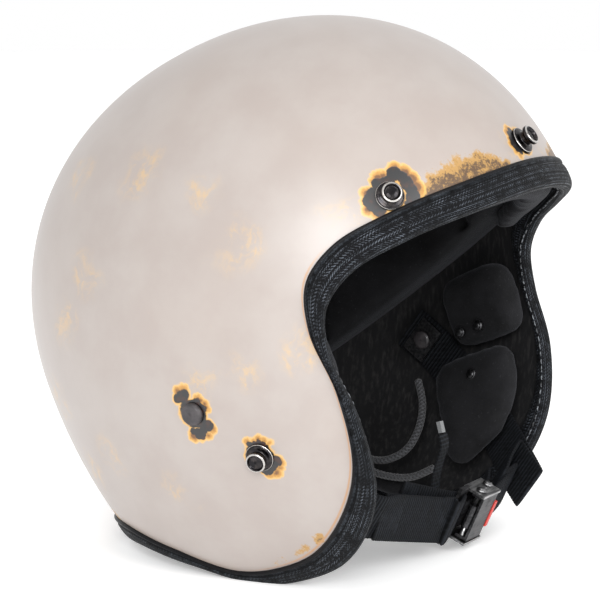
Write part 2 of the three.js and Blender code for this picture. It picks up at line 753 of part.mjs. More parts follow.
const sides = { right: -1, left: 1 };
Object.entries(sides).forEach(([name, side]) => {
  addPiece(`crown_pad_${name}`, 'velvet', makeCrownHalf(side));
  addPiece(`temple_pad_${name}`, 'velvet', makePad(onSide(side, templePad), templePad));
  addPiece(`cheek_pad_${name}`, 'velvet', makePad(onSide(side, cheekPad), cheekPad));
  addPiece(`strap_rivet_${name}`, 'blackPaint', makeRivet(side));
  addPiece(`strap_anchor_${name}`, 'darkSteel', makeAnchor(side));
  Object.entries(liningSnapPlaces).forEach(([where, place]) => (
    addPiece(`lining_snap_${where}_${name}`, 'darkSteel', makeLiningSnap(side, place))));
  Object.entries(pipingRuns).forEach(([where, places]) => (
    addPiece(`cheek_piping_${where}_${name}`, 'webbing', makePiping(side, places))));
});
addPiece('strap_webbing_right', 'webbing', makeStrap(rightStrapLine, -1));
addPiece('strap_webbing_left', 'webbing', makeStrap(leftStrapLine, 1));
addPiece('ratchet_tongue', 'darkSteel', makeTongue());
addPiece('buckle_frame', 'nickel', makeFrame());
addPiece('buckle_bar', 'nickel', makePin(buckle.barX, buckle.barRise));
addPiece('lever_pin', 'nickel', makePin(buckle.pivotX, buckle.pivotRise));
addPiece('lever_spring', 'darkSteel', makeLeverSpring());
addPiece('release_lever', 'darkSteel', makeLever());
addPiece('release_tab', 'redPlastic', makeRedTab());
addPiece('pull_strip', 'webbing', makePullStrip());
addPiece('pull_strip_tip', 'redPlastic', makePullTip());

// The origin is on the table, under the middle of the helmet.
const whole = new THREE.Box3().setFromObject(helmet);
helmet.position.set(0, -(whole.min.y + whole.max.y) / 2, -whole.min.z);

export default helmet;
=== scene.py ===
"""The looks of an open face motorcycle helmet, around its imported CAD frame.

Metres. +Z is up, the face opening looks towards -Y and the wearer's right side is -X. The shell is
measured in a level frame of its own, in azimuth from straight ahead (positive to the wearer's
right) and elevation from the ear line, and is then tipped back to lie on the table.
"""

import math

import bpy
import numpy as np
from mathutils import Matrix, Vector


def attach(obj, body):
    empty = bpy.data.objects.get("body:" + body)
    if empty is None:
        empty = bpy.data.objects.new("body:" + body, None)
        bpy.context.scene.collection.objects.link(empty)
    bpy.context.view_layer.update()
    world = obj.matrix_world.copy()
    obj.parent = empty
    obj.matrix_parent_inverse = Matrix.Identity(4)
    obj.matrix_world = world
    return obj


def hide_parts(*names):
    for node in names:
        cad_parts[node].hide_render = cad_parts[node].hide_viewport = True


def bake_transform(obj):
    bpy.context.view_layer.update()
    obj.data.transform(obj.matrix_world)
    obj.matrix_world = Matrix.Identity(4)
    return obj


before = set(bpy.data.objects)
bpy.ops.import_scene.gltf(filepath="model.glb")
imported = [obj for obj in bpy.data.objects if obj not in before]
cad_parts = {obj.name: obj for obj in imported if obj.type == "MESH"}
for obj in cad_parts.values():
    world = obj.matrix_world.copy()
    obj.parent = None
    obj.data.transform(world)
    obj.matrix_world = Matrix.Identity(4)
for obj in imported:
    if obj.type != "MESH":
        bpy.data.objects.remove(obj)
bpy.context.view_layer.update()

# ------------------------------------------------------------ driving dimensions

MM = 0.001

SHELL_HALF_WIDTH = 0.118
SHELL_FRONT = 0.1356
SHELL_BACK = 0.1385
SHELL_HEIGHT = 0.131
SIDE_ROUNDNESS = 2.14
PLAN_ROUNDNESS = 2.1
SHELL_THICKNESS = 0.0035
# How far the skirt has drawn in 100 mm below the ear line, as (share of the half size, power).
SKIRT = {"side": (0.2075, 2.49), "front": (0.084, 2.0), "back": (0.132, 2.0)}
TIP_BACK = math.radians(25.35)
SHELL_CENTRE = np.array([0.0, -0.008042, 0.1211])

# The edge of the opening, from the middle of the brow round the right side to the nape.
OPENING_EDGE = [
    (0, 0.3), (20, -0.3), (38, -1.1), (50, -3), (57.5, -8), (60.4, -17), (59.6, -30),
    (62, -44), (70, -53), (84, -58.5), (100, -58.4), (113, -55.2), (128, -44.3),
    (143, -35), (160, -30.9),
]
# The lower edge starts at this entry, under the cheek.
CHEEK_CORNER = 7
NAPE = (180, -30.1)
CROWN_POINT = (180, 72)

BAND_OUTSIDE = 0.0146
BAND_SHELL_EDGE = 0.0039

STUD_FLANGE_RADIUS = 0.0065
STUD_POST_RADIUS = 0.00475
STUD_HEIGHT = 0.0064
STUDS = {
    "brow_stud_center": (0, 10.4),
    "brow_stud_right": (37.6, 8.2),
    "brow_stud_left": (-37.6, 8.2),
    "side_stud_right": (84.9, -30.8),
    "side_stud_left": (-84.9, -30.8),
}
RIVET_PLACE = (95.2, -17.4)
RIVET_RADIUS = 0.0053
RIVET_HEIGHT = 0.0026

RIVET_AXIS = np.array([0.0, -0.01412, 0.08367])
STRAP_WIDTH = 0.024
STRAP_THICKNESS = 0.0018
STRAP_WALL_X = 0.107
RIB_PITCH = 0.0019
# The strap's middle line in millimetres as (x, forward, down, tilt): forward and down from the
# rivets' axis, and tilt in degrees, by which the webbing's width leans forward from upright.
WALL_RUN = [
    (-107, -8.1, -5.9, 36), (-107, 0, 0, 36), (-107, 7.3, 5.3, 36), (-103.8, 16.2, 11.8, 36),
    (-101.2, 24.3, 17.6, 36), (-97.8, 32.4, 23.5, 36), (-93.6, 40.5, 29.4, 36),
    (-88.6, 48.5, 35.3, 36), (-82.6, 56.6, 41.1, 36), (-77.2, 63.1, 45.8, 36),
]
RIGHT_STRAP_LINE = [
    (-77.2, 63.1, 45.8, 36), (-70, 66.8, 48.6, 32), (-62, 68, 50, 27), (-50, 68.3, 52.8, 21),
    (-37, 68.2, 56.2, 18), (-24, 68.4, 59.3, 18), (-12, 68.8, 61.8, 20), (-3, 69.2, 63.4, 22),
    (6.4, 69.5, 64.8, 24), (7.9, 69.1, 64.6, 24), (8.5, 68.2, 64.2, 24), (8.5, 66.8, 63.6, 24),
    (7.9, 65.9, 63.2, 24), (6.4, 65.5, 63, 24), (-3, 64.4, 60.6, 24), (-13, 62.6, 57.4, 24),
    (-24, 60.4, 54, 26),
]
LEFT_STRAP_LINE = [(-x, *rest) for x, *rest in WALL_RUN] + [
    (70, 66.8, 48.6, 32), (61.5, 68.6, 50.6, 30), (53.5, 70.2, 54.2, 28), (45.5, 71.8, 59, 26),
    (37.5, 72.4, 64, 24), (28, 72.6, 66.2, 24), (25.9, 71.8, 65.8, 24), (25.1, 70, 65, 24),
    (26, 68.3, 64.2, 24), (28, 67.5, 63.9, 24), (35.5, 67, 63, 24), (44.5, 64, 59, 24),
]
# The pull strip's middle line in millimetres as (x, forward, down).
PULL_STRIP_LINE = [(2, 61.4, 56), (3, 60.4, 48), (5, 61, 40), (7, 63, 30), (7.5, 61.4, 25)]
PULL_STRIP_WIDTH = 0.008
PULL_STRIP_THICKNESS = 0.0014
# The buckle's two pins, as (distance across the face, rise from the strap's middle).
PIN_PLACES = {"buckle_bar": (0.028, 0.002), "lever_pin": (0.0175, 0.004)}

CAMERA_PLACE = (-1.04337, -0.60859, 0.30987)
CAMERA_AIM = SHELL_CENTRE + np.array([-0.00272, 0.00473, -0.00267])
CAMERA_LENS = 151.74
# Each lamp as (place, size, power).
LAMPS = {
    "softbox": ((-1.5, -0.75, 0.75), 0.8, 19),
    "fill": ((-0.4, -1.7, 0.9), 0.9, 12),
}
BUCKLE_MIDDLE = (68.2, 64.2)
BUCKLE_SLOPE = 24

# ------------------------------------------------------------ the shell surface


def direction_of(azimuth, elevation):
    a, e = np.radians(azimuth), np.radians(elevation)
    return np.stack([-np.sin(a) * np.cos(e), -np.cos(a) * np.cos(e), np.sin(e) + 0 * a], -1)


def shell_level(p):
    """Above 1 outside the shell and below 1 inside it, in the shell's own level frame."""
    x, y, z = p[..., 0], p[..., 1], p[..., 2]
    drop = np.maximum(0, -z / 0.1)
    front = y < 0
    end_rate = np.where(front, SKIRT["front"][0], SKIRT["back"][0])
    end_power = np.where(front, SKIRT["front"][1], SKIRT["back"][1])
    width = SHELL_HALF_WIDTH * (1 - SKIRT["side"][0] * drop ** SKIRT["side"][1])
    length = np.where(front, SHELL_FRONT, SHELL_BACK) * (1 - end_rate * drop**end_power)
    plan = (np.abs(x) / width) ** PLAN_ROUNDNESS + (np.abs(y) / length) ** PLAN_ROUNDNESS
    plan = plan ** (SIDE_ROUNDNESS / PLAN_ROUNDNESS)
    return (plan + (np.maximum(0, z) / SHELL_HEIGHT) ** SIDE_ROUNDNESS) ** (1 / SIDE_ROUNDNESS)


def shell_reach(direction):
    near = np.full(direction.shape[:-1], 0.04)
    far = np.full(direction.shape[:-1], 0.19)
    for _ in range(30):
        middle = (near + far) / 2
        outside = shell_level(direction * middle[..., None]) > 1
        far = np.where(outside, middle, far)
        near = np.where(outside, near, middle)
    return (near + far) / 2


def normalized(v):
    return v / np.linalg.norm(v, axis=-1, keepdims=True)


def outward_at(point):
    steps = 5e-5 * np.eye(3)
    slopes = [shell_level(point + step) - shell_level(point - step) for step in steps]
    return normalized(np.stack(slopes, -1))


def tipped(v):
    c, s = math.cos(TIP_BACK), math.sin(TIP_BACK)
    x, y, z = v[..., 0], v[..., 1], v[..., 2]
    return np.stack([x, c * y + s * z, c * z - s * y], -1)


def wall_point(direction, depth=0.0):
    """The point this deep under the shell's outer surface, in the row frame."""
    point = direction * shell_reach(direction)[..., None]
    depth = np.broadcast_to(depth, point.shape[:-1])
    return tipped(point - outward_at(point) * depth[..., None]) + SHELL_CENTRE


def wall_normal(direction):
    return tipped(outward_at(direction * shell_reach(direction)[..., None]))


def catmull_rom(points, t, closed=False):
    """Centripetal Catmull-Rom through the points, at parameters t from 0 to 1."""
    points = np.asarray(points, float)
    count = len(points)
    if closed:
        ring = np.concatenate([points[-1:], points, points[:2]])
        place = np.asarray(t) % 1 * count
    else:
        before = 2 * points[:1] - points[1:2]
        after = 2 * points[-1:] - points[-2:-1]
        ring = np.concatenate([before, points, after])
        place = np.asarray(t) * (count - 1)
    first = np.minimum(np.floor(place).astype(int), len(ring) - 4)
    w = (place - first)[..., None]
    p0, p1, p2, p3 = (ring[first + i] for i in range(4))
    d0, d1, d2 = (
        np.maximum(np.linalg.norm(b - a, axis=-1, keepdims=True) ** 0.5, 1e-6)
        for a, b in ((p0, p1), (p1, p2), (p2, p3))
    )
    m1 = ((p1 - p0) / d0 - (p2 - p0) / (d0 + d1) + (p2 - p1) / d1) * d1
    m2 = ((p2 - p1) / d1 - (p3 - p1) / (d1 + d2) + (p3 - p2) / d2) * d1
    cubic = 2 * p1 - 2 * p2 + m1 + m2
    square = -3 * p1 + 3 * p2 - 2 * m1 - m2
    return ((cubic * w + square) * w + m1) * w + p1


# ------------------------------------------------------------ the opening edge

RIGHT_EDGE = [direction_of(*place) for place in OPENING_EDGE]
LEFT_EDGE = [direction_of(-a, e) for a, e in OPENING_EDGE[:0:-1]]
EDGE_POINTS = np.array(RIGHT_EDGE + [direction_of(*NAPE)] + LEFT_EDGE)
EDGE_DIVISIONS = np.linspace(0, 1, 801)
EDGE_SAMPLES = catmull_rom(EDGE_POINTS, EDGE_DIVISIONS, closed=True)
EDGE_STEPS = np.linalg.norm(np.diff(EDGE_SAMPLES, axis=0), axis=1)
EDGE_LENGTHS = np.concatenate([[0], np.cumsum(EDGE_STEPS)])
CROWN = direction_of(*CROWN_POINT)


def edge_at(turn):
    t = np.interp(np.asarray(turn) % 1, EDGE_LENGTHS / EDGE_LENGTHS[-1], EDGE_DIVISIONS)
    return normalized(catmull_rom(EDGE_POINTS, t, closed=True))


def edge_direction(turn, back):
    """Direction of a place set in from the opening edge. Turn 0 is mid brow, 0.25 about the right
    cheek and 0.5 the nape. Back is the distance in from the edge along the wall."""
    turn, back = np.broadcast_arrays(turn, back)
    edge = edge_at(turn)
    sweep = np.arccos(edge @ CROWN)
    share = 1 - back / shell_reach(edge) / sweep
    a = np.sin((1 - share) * sweep) / np.sin(sweep)
    b = np.sin(share * sweep) / np.sin(sweep)
    return normalized(a[..., None] * CROWN + b[..., None] * edge)


def edge_point(turn, back, depth):
    turn, back, depth = np.broadcast_arrays(turn, back, depth)
    return wall_point(edge_direction(turn, back), depth)


# ------------------------------------------------------------ mesh helpers


def new_object(name, vertices, faces, smooth=True):
    mesh = bpy.data.meshes.new(name)
    mesh.from_pydata(np.asarray(vertices).reshape(-1, 3).tolist(), [], faces)
    mesh.polygons.foreach_set("use_smooth", [smooth] * len(mesh.polygons))
    mesh.update()
    obj = bpy.data.objects.new(name, mesh)
    bpy.context.collection.objects.link(obj)
    return obj


def grid_faces(rows, columns, ring=False):
    """Quads over rows of closed loops, with the last row joined to the first if it is a ring."""
    faces = []
    for i in range(rows if ring else rows - 1):
        for j in range(columns):
            k = (j + 1) % columns
            n = (i + 1) % rows
            faces.append((i * columns + j, i * columns + k, n * columns + k, n * columns + j))
    return faces


def loft(name, loops, ring=False):
    """Skins a row of closed loops. The ends are closed by fans, or joined if it is a ring."""
    loops = np.asarray(loops)
    rows, columns = loops.shape[:2]
    vertices = loops.reshape(-1, 3)
    faces = grid_faces(rows, columns, ring)
    if not ring:
        hubs = [loops[0].mean(0), loops[-1].mean(0)]
        first, last = len(vertices), len(vertices) + 1
        vertices = np.concatenate([vertices, hubs])
        end = (rows - 1) * columns
        for j in range(columns):
            k = (j + 1) % columns
            faces.append((first, k, j))
            faces.append((last, end + j, end + k))
    obj = new_object(name, vertices, faces)
    face_outwards(obj)
    return obj


def face_outwards(obj):
    """Turns a closed mesh the right way out, by the sign of its volume."""
    mesh = obj.data
    mesh.calc_loop_triangles()
    co = np.array([v.co for v in mesh.vertices])
    tri = np.array([t.vertices for t in mesh.loop_triangles])
    a, b, c = co[tri[:, 0]], co[tri[:, 1]], co[tri[:, 2]]
    if np.sum(np.cross(a, b) * c) < 0:
        mesh.flip_normals()


def set_weave_map(obj, rows, columns, along, across, ring=False):
    """A UV map in metres over the quads that grid_faces made. Along and across have one more
    entry than there are rows and columns, so that the map doesn't fold back at the joins."""
    layer = obj.data.uv_layers.new(name="weave")
    values = []
    for i in range(rows if ring else rows - 1):
        for j in range(columns):
            corners = [(i, j), (i, j + 1), (i + 1, j + 1), (i + 1, j)]
            values += [(along[r], across[c]) for r, c in corners]
    uv = np.zeros((len(obj.data.loops), 2))
    uv[: len(values)] = values
    layer.data.foreach_set("uv", uv.ravel())


def set_attribute(obj, name, values):
    attribute = obj.data.attributes.new(name, "FLOAT", "POINT")
    attribute.data.foreach_set("value", np.asarray(values, np.float32).ravel())


def lathe(name, profile, segments=56):
    """A turned body about the local Z axis from (radius, height) pairs."""
    angles = np.linspace(0, 2 * math.pi, segments, endpoint=False)
    profile = np.asarray(profile, float)
    loops = [
        np.stack([r * np.cos(angles), r * np.sin(angles), h + 0 * angles], -1) for r, h in profile
    ]
    return loft(name, loops)


def rounded(profile, radius, steps=4):
    """The profile with each inner corner cut back and turned through an arc-like curve."""
    points = [np.asarray(p, float) for p in profile]
    out = [points[0]]
    for before, corner, after in zip(points, points[1:], points[2:]):
        start = corner + (before - corner) * min(0.45, radius / np.linalg.norm(before - corner))
        end = corner + (after - corner) * min(0.45, radius / np.linalg.norm(after - corner))
        for t in np.linspace(0, 1, steps):
            out.append((1 - t) ** 2 * start + 2 * t * (1 - t) * corner + t**2 * end)
    out.append(points[-1])
    return np.array(out)


def stand_on(obj, point, normal):
    obj.location = Vector(point)
    obj.rotation_mode = "QUATERNION"
    obj.rotation_quaternion = Vector(normal).to_track_quat("Z", "Y")
    bpy.context.view_layer.update()
    obj.data.transform(obj.matrix_world)
    obj.location = (0, 0, 0)
    obj.rotation_quaternion = (1, 0, 0, 0)
    return obj


def finish_piece(obj, body, slot, material, *nodes):
    obj.data.materials.append(material)
    if nodes:
        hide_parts(*nodes)
    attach(obj, body)
    return obj


# ------------------------------------------------------------ node materials


class Field:
    """A node output, so that a pattern can be written as plain arithmetic."""

    def __init__(self, tree, socket):
        self.tree = tree
        self.socket = socket

    def _math(self, operation, *others, clamp=False):
        node = self.tree.nodes.new("ShaderNodeMath")
        node.operation = operation
        node.use_clamp = clamp
        for slot, value in zip(node.inputs, (self, *others)):
            plug(self.tree, value, slot)
        return Field(self.tree, node.outputs[0])

    def __add__(self, other):
        return self._math("ADD", other)

    def __sub__(self, other):
        return self._math("SUBTRACT", other)

    def __rsub__(self, other):
        return (self * -1) + other

    def __mul__(self, other):
        return self._math("MULTIPLY", other)

    __radd__ = __add__
    __rmul__ = __mul__

    def __truediv__(self, other):
        return self._math("DIVIDE", other)

    def __pow__(self, other):
        return self._math("POWER", other)

    def max(self, other):
        return self._math("MAXIMUM", other)

    def min(self, other):
        return self._math("MINIMUM", other)

    def abs(self):
        return self._math("ABSOLUTE")

    def sin(self):
        return self._math("SINE")

    def floor(self):
        return self._math("FLOOR")

    def fraction(self):
        return self._math("FRACT")

    def modulo(self, other):
        return self._math("FLOORED_MODULO", other)

    def clamped(self):
        return self._math("ADD", 0.0, clamp=True)

    def between(self, low, high):
        """0 below low and 1 above high, with a smooth step between."""
        node = self.tree.nodes.new("ShaderNodeMapRange")
        node.interpolation_type = "SMOOTHSTEP"
        plug(self.tree, self, node.inputs["Value"])
        node.inputs["From Min"].default_value = low
        node.inputs["From Max"].default_value = high
        return Field(self.tree, node.outputs[0])


def plug(tree, value, slot):
    if isinstance(value, Field):
        tree.links.new(value.socket, slot)
    elif value is not None:
        slot.default_value = value


class Surface:
    """A material with a principled shader, and the fields that its patterns are made from."""

    def __init__(self, name, colour, roughness, **constants):
        self.material = bpy.data.materials.new(name)
        self.material.use_nodes = True
        self.tree = self.material.node_tree
        self.shader = self.tree.nodes["Principled BSDF"]
        self.shader.inputs["Base Color"].default_value = (*colour, 1)
        self.shader.inputs["Roughness"].default_value = roughness
        for key, value in constants.items():
            socket = key.replace("_", " ").title().replace("Ior", "IOR")
            self.shader.inputs[socket].default_value = value

    def node(self, kind):
        return self.tree.nodes.new(kind)

    def place(self):
        """Position on the piece at rest, in metres."""
        return Field(self.tree, self.node("ShaderNodeTexCoord").outputs["Object"])

    def weave(self):
        """The piece's own map in metres, as along and across."""
        uv = self.node("ShaderNodeUVMap")
        uv.uv_map = "weave"
        split = self.node("ShaderNodeSeparateXYZ")
        self.tree.links.new(uv.outputs[0], split.inputs[0])
        return Field(self.tree, split.outputs[0]), Field(self.tree, split.outputs[1])

    def attribute(self, name):
        node = self.node("ShaderNodeAttribute")
        node.attribute_name = name
        return Field(self.tree, node.outputs["Fac"])

    def noise(self, size, detail=3.0, roughness=0.55, at=None, stretch=None):
        """Cloudy noise whose blotches are about this many metres across."""
        node = self.node("ShaderNodeTexNoise")
        node.inputs["Scale"].default_value = 1.0 / size
        node.inputs["Detail"].default_value = detail
        node.inputs["Roughness"].default_value = roughness
        place = at or self.place()
        if stretch:
            place = self.scaled(place, stretch)
        plug(self.tree, place, node.inputs["Vector"])
        return Field(self.tree, node.outputs[0])

    def noise_vector(self, size, detail=2.0):
        node = self.node("ShaderNodeTexNoise")
        node.inputs["Scale"].default_value = 1.0 / size
        node.inputs["Detail"].default_value = detail
        plug(self.tree, self.place(), node.inputs["Vector"])
        return Field(self.tree, node.outputs[1])

    def cells(self, size, randomness=1.0):
        node = self.node("ShaderNodeTexVoronoi")
        node.inputs["Scale"].default_value = 1.0 / size
        node.inputs["Randomness"].default_value = randomness
        plug(self.tree, self.place(), node.inputs["Vector"])
        return Field(self.tree, node.outputs["Distance"])

    def scaled(self, vector, factors):
        node = self.node("ShaderNodeVectorMath")
        node.operation = "MULTIPLY"
        plug(self.tree, vector, node.inputs[0])
        node.inputs[1].default_value = factors
        return Field(self.tree, node.outputs[0])

    def shifted(self, vector, by, amount):
        """The vector moved by a noise vector, up to about this many metres."""
        centred = self.node("ShaderNodeVectorMath")
        centred.operation = "SUBTRACT"
        plug(self.tree, by, centred.inputs[0])
        centred.inputs[1].default_value = (0.5, 0.5, 0.5)
        node = self.node("ShaderNodeVectorMath")
        node.operation = "MULTIPLY_ADD"
        self.tree.links.new(centred.outputs[0], node.inputs[0])
        node.inputs[1].default_value = (amount,) * 3
        plug(self.tree, vector, node.inputs[2])
        return Field(self.tree, node.outputs[0])

    def distance(self, vector, point):
        node = self.node("ShaderNodeVectorMath")
        node.operation = "DISTANCE"
        plug(self.tree, vector, node.inputs[0])
        node.inputs[1].default_value = point
        return Field(self.tree, node.outputs["Value"])

    def blobs(self, vector, spots):
        """1 at the middle of the nearest spot and 0 at its radius, falling on outside it."""
        nearest = None
        for point, radius in spots:
            closeness = 1.0 - self.distance(vector, point) / radius
            nearest = closeness if nearest is None else nearest.max(closeness)
        return nearest

    def depths(self, vector, spots):
        """Millimetres inside the nearest spot's edge, below 0 outside all of them."""
        nearest = None
        for point, radius in spots:
            depth = (radius - self.distance(vector, point)) / MM
            nearest = depth if nearest is None else nearest.max(depth)
        return nearest

    def mix(self, factor, a, b):
        node = self.node("ShaderNodeMix")
        node.data_type = "RGBA"
        plug(self.tree, factor, node.inputs["Factor"])
        for value, slot in ((a, node.inputs["A"]), (b, node.inputs["B"])):
            plug(self.tree, value if isinstance(value, Field) else (*value, 1), slot)
        return Field(self.tree, node.outputs["Result"])

    def colour(self, value):
        plug(self.tree, value, self.shader.inputs["Base Color"])

    def roughness(self, value):
        plug(self.tree, value, self.shader.inputs["Roughness"])

    def bump(self, height, distance, strength=1.0):
        """Raises the surface by height times distance, in metres."""
        node = self.node("ShaderNodeBump")
        node.inputs["Strength"].default_value = strength
        node.inputs["Distance"].default_value = distance
        plug(self.tree, height, node.inputs["Height"])
        self.tree.links.new(node.outputs[0], self.shader.inputs["Normal"])


# ------------------------------------------------------------ wear, painted shade and a painted shadow on the paint

PAINT_DARK = (0.33, 0.285, 0.262)
PAINT_LIGHT = (0.36, 0.32, 0.297)
PAINT_WARM = (0.335, 0.27, 0.232)

# Burnt arcs beside each stud and rivet as (from, to, reach, radius); the rivet's arc from 140 to 180
# is its painted shadow, not a burn. Angles run from straight back up over the top, in degrees. Reach
# is from its middle and radius half the mark's width, in mm.
BURN_AND_SHADOW_ARCS = {
    "brow_stud_right": [(125, 225, 10, 3.6), (-30, 30, 8, 2.8), (70, 110, 7, 2.4)],
    "brow_stud_center": [(-40, 50, 8, 2.2)],
    "side_stud_right": [(215, 270, 7, 2.4), (80, 150, 6.5, 1.5)],
    # The rivet's arc from 140 to 180 degrees, up and forward of it, is a painted shadow, not a burn.
    "rivet": [(65, 95, 9, 2.6), (240, 300, 9, 2.4), (140, 180, 5.5, 2)],
}
SMEAR_COUNT = 20


def along_arc(arc, outwards, narrowing, draw):
    """Uneven overlapping marks along one arc, in millimetres as (to the rear, up, radius)."""
    start, end, reach, radius = arc
    count = 2 + round((end - start) / 24)
    for angle in np.radians(np.linspace(start, end, count)):
        away = reach + outwards + draw.uniform(-0.9, 0.9)
        size = (radius - narrowing) * draw.uniform(0.75, 1.25)
        yield away * math.cos(angle), away * math.sin(angle), size


def spots_beside(outwards=0.0, narrowing=0.0, heart=0.0, seed=4):
    """Round marks on the burnt arcs and the rivet's painted shadow arc of both sides, and one of
    radius heart under each stud.
    """
    draw = np.random.default_rng(seed)
    places = {**STUDS, "rivet": RIVET_PLACE}
    out = []
    for name, arcs in BURN_AND_SHADOW_ARCS.items():
        azimuth, elevation = places[name]
        marks = [(0, 0, heart)] if heart else []
        for arc in arcs:
            marks += along_arc(arc, outwards, narrowing, draw)
        for sign in (1, -1) if azimuth else (1,):
            centre = wall_point(direction_of(sign * azimuth, elevation))
            normal = wall_normal(direction_of(sign * azimuth, elevation))
            rear = normalized(wall_point(direction_of(sign * (azimuth + 0.2), elevation)) - centre)
            up = np.cross(rear, normal) * sign
            for to_rear, above, radius in marks:
                point = centre + (rear * to_rear + up * above) * MM
                out.append((tuple(point), radius * MM))
    return out


def both_sides(azimuth, elevation, radius):
    """Round marks at places on the shell, a little higher and smaller on the left."""
    right = wall_point(direction_of(azimuth, elevation))
    left = wall_point(direction_of(-azimuth - 1.5, elevation + 0.6))
    sizes = np.concatenate([radius, 0.85 * radius]) * MM
    return [(tuple(point), size) for point, size in zip(np.concatenate([right, left]), sizes)]


def brow_specks():
    """A belt over the brow between the studs, widest at its middle."""
    share = np.linspace(0, 1, 9)
    swell = np.sin(math.pi * share)
    return both_sides(33 - 26 * share, 4 + 3 * swell, 7 + 9 * swell)


def low_specks():
    """Along the lower edge, where dirt and damp gather."""
    draw = np.random.default_rng(11)
    azimuth = np.linspace(84, 158, 10)
    edge_azimuth, edge_elevation = np.array(OPENING_EDGE[CHEEK_CORNER:]).T
    elevation = np.interp(azimuth, edge_azimuth, edge_elevation) + 8
    return both_sides(azimuth, elevation, draw.uniform(4, 10, len(azimuth)))


def smears():
    draw = np.random.default_rng(7)
    azimuth = draw.uniform(5, 140, SMEAR_COUNT)
    elevation = draw.uniform(-30, 50, SMEAR_COUNT)
    return both_sides(azimuth, elevation, draw.uniform(9, 16, SMEAR_COUNT))


def cloudy_paint(s, clouds):
    """The cream paint itself: soft clouds, a few specks and rusty smears."""
    tone = s.mix(clouds.between(0.3, 0.7), PAINT_DARK, PAINT_LIGHT)
    tone = s.mix(s.noise(0.1, 2).between(0.4, 0.75) * 0.3, tone, PAINT_WARM)
    specks = s.noise(0.0022, 2, 0.5).between(0.73, 0.8) * 0.2
    tone = s.mix(specks, tone, (0.45, 0.33, 0.22))
    loose = s.shifted(s.place(), s.noise_vector(0.02, 4), 0.03)
    smear = s.blobs(loose, smears()).between(-0.1, 0.8)
    streaks = s.noise(0.006, 5, 0.7, at=loose).between(0.42, 0.68)
    return s.mix(smear * streaks * 0.7, tone, (0.52, 0.35, 0.17))


def add_specks(s, tone, fine, grain):
    """Rust specks in belts over the brow and along the lower edge: tone, speckle and dark."""
    rim = s.attribute("rim")
    drift = s.shifted(s.place(), s.noise_vector(0.012, 4), 0.012)
    near_band = 1.0 - rim.between(0.0146, 0.034)
    brow = s.blobs(drift, brow_specks()).between(-0.1, 0.75) * (near_band * 0.55 + 0.5)
    low = s.blobs(drift, low_specks()).between(-0.3, 0.6) * (1.0 - rim.between(0.0146, 0.026))
    thick = brow.max(low * 0.95).clamped()
    tone = s.mix((fine * 0.8 + thick * 0.75).between(0.66, 1.0) * 0.6, tone, (0.55, 0.36, 0.13))
    speckle = (fine * 0.55 + grain * 0.6 + thick * 0.62).between(0.8, 0.98)
    tone = s.mix(speckle * 0.9, tone, (0.36, 0.19, 0.035))
    dark = (fine * 0.6 + grain * 0.6 + thick * 0.5).between(0.97, 1.12)
    return s.mix(dark * 0.9, tone, (0.05, 0.02, 0.006)), speckle, dark


def add_edge_line_and_shade(s, tone, clouds):
    """A thin brown line beside the band at the face, and painted shade above it at the neck."""
    rim = s.attribute("rim")
    edge_line = rim.between(0.0152, 0.0157) * (1.0 - rim.between(0.0162, 0.0168))
    tone = s.mix(edge_line * s.attribute("face_side") * 0.8, tone, (0.42, 0.22, 0.1))
    # Painted shade: the paint is darkened brown in a patchy strip just above the band at the neck.
    painted_neck_shade = (1.0 - rim.between(0.0146, 0.027)) * clouds.between(0.35, 0.8)
    return s.mix(painted_neck_shade * s.attribute("neck_side") * 0.4, tone, (0.3, 0.19, 0.11))


def add_burns_and_shadow(s, tone, fine, grain):
    """Orange, then brown, then bare dark steel towards the middle, over the burns and over the
    rivet's painted shadow: the tone, the ring mask and the middle mask.
    """
    wavy = s.shifted(s.place(), s.noise_vector(0.007, 3), 0.0024)
    ragged = s.shifted(wavy, s.noise_vector(0.0016, 3), 0.0012)
    burn_and_shadow = s.depths(ragged, spots_beside(heart=6.8))
    singed_and_shadow = s.depths(ragged, spots_beside(outwards=2.2, narrowing=0.4, seed=9))
    scorch_and_shadow = singed_and_shadow.max(burn_and_shadow - 0.1) + (fine - 0.5) * 2.4 + (grain - 0.5) * 0.8
    tone = s.mix(scorch_and_shadow.between(-1.7, -0.5) * 0.8, tone, (0.7, 0.4, 0.08))
    tone = s.mix(scorch_and_shadow.between(-0.9, 0.4) * 0.9, tone, (0.4, 0.19, 0.03))
    tone = s.mix(scorch_and_shadow.between(0.3, 1.6) * 0.85, tone, (0.09, 0.028, 0.007))
    charred_and_shadow = (burn_and_shadow + (fine - 0.5) * 0.6).between(-0.25, 0.3)
    rust = s.noise(0.004, 3).between(0.5, 0.66)
    steel = s.mix(rust, (0.005, 0.005, 0.006), (0.032, 0.009, 0.004))
    return s.mix(charred_and_shadow, tone, steel), scorch_and_shadow, charred_and_shadow


def paint_material():
    s = Surface("aged_paint", (0.34, 0.3, 0.28), 0.4, coat_weight=0.6, coat_roughness=0.35)
    grain = s.noise(0.0011, 4, 0.7)
    clouds = s.noise(0.03, 4, 0.6)
    fine = s.noise(0.004, 5, 0.65)
    tone, speckle, dark = add_specks(s, cloudy_paint(s, clouds), fine, grain)
    tone = add_edge_line_and_shade(s, tone, clouds)
    tone, scorch_and_shadow, charred_and_shadow = add_burns_and_shadow(s, tone, fine, grain)
    s.colour(tone)
    worn = (speckle * 0.5 + scorch_and_shadow.between(-0.5, 0.6) * 0.5).clamped()
    s.roughness(0.36 + clouds * 0.1 + worn * 0.3 - charred_and_shadow * 0.2)
    height = 1.0 - (charred_and_shadow * 0.9 + dark * 0.3) + s.noise(0.0009, 2) * 0.03 + clouds * 0.2
    s.bump(height, 0.00025, 0.6)
    return s.material


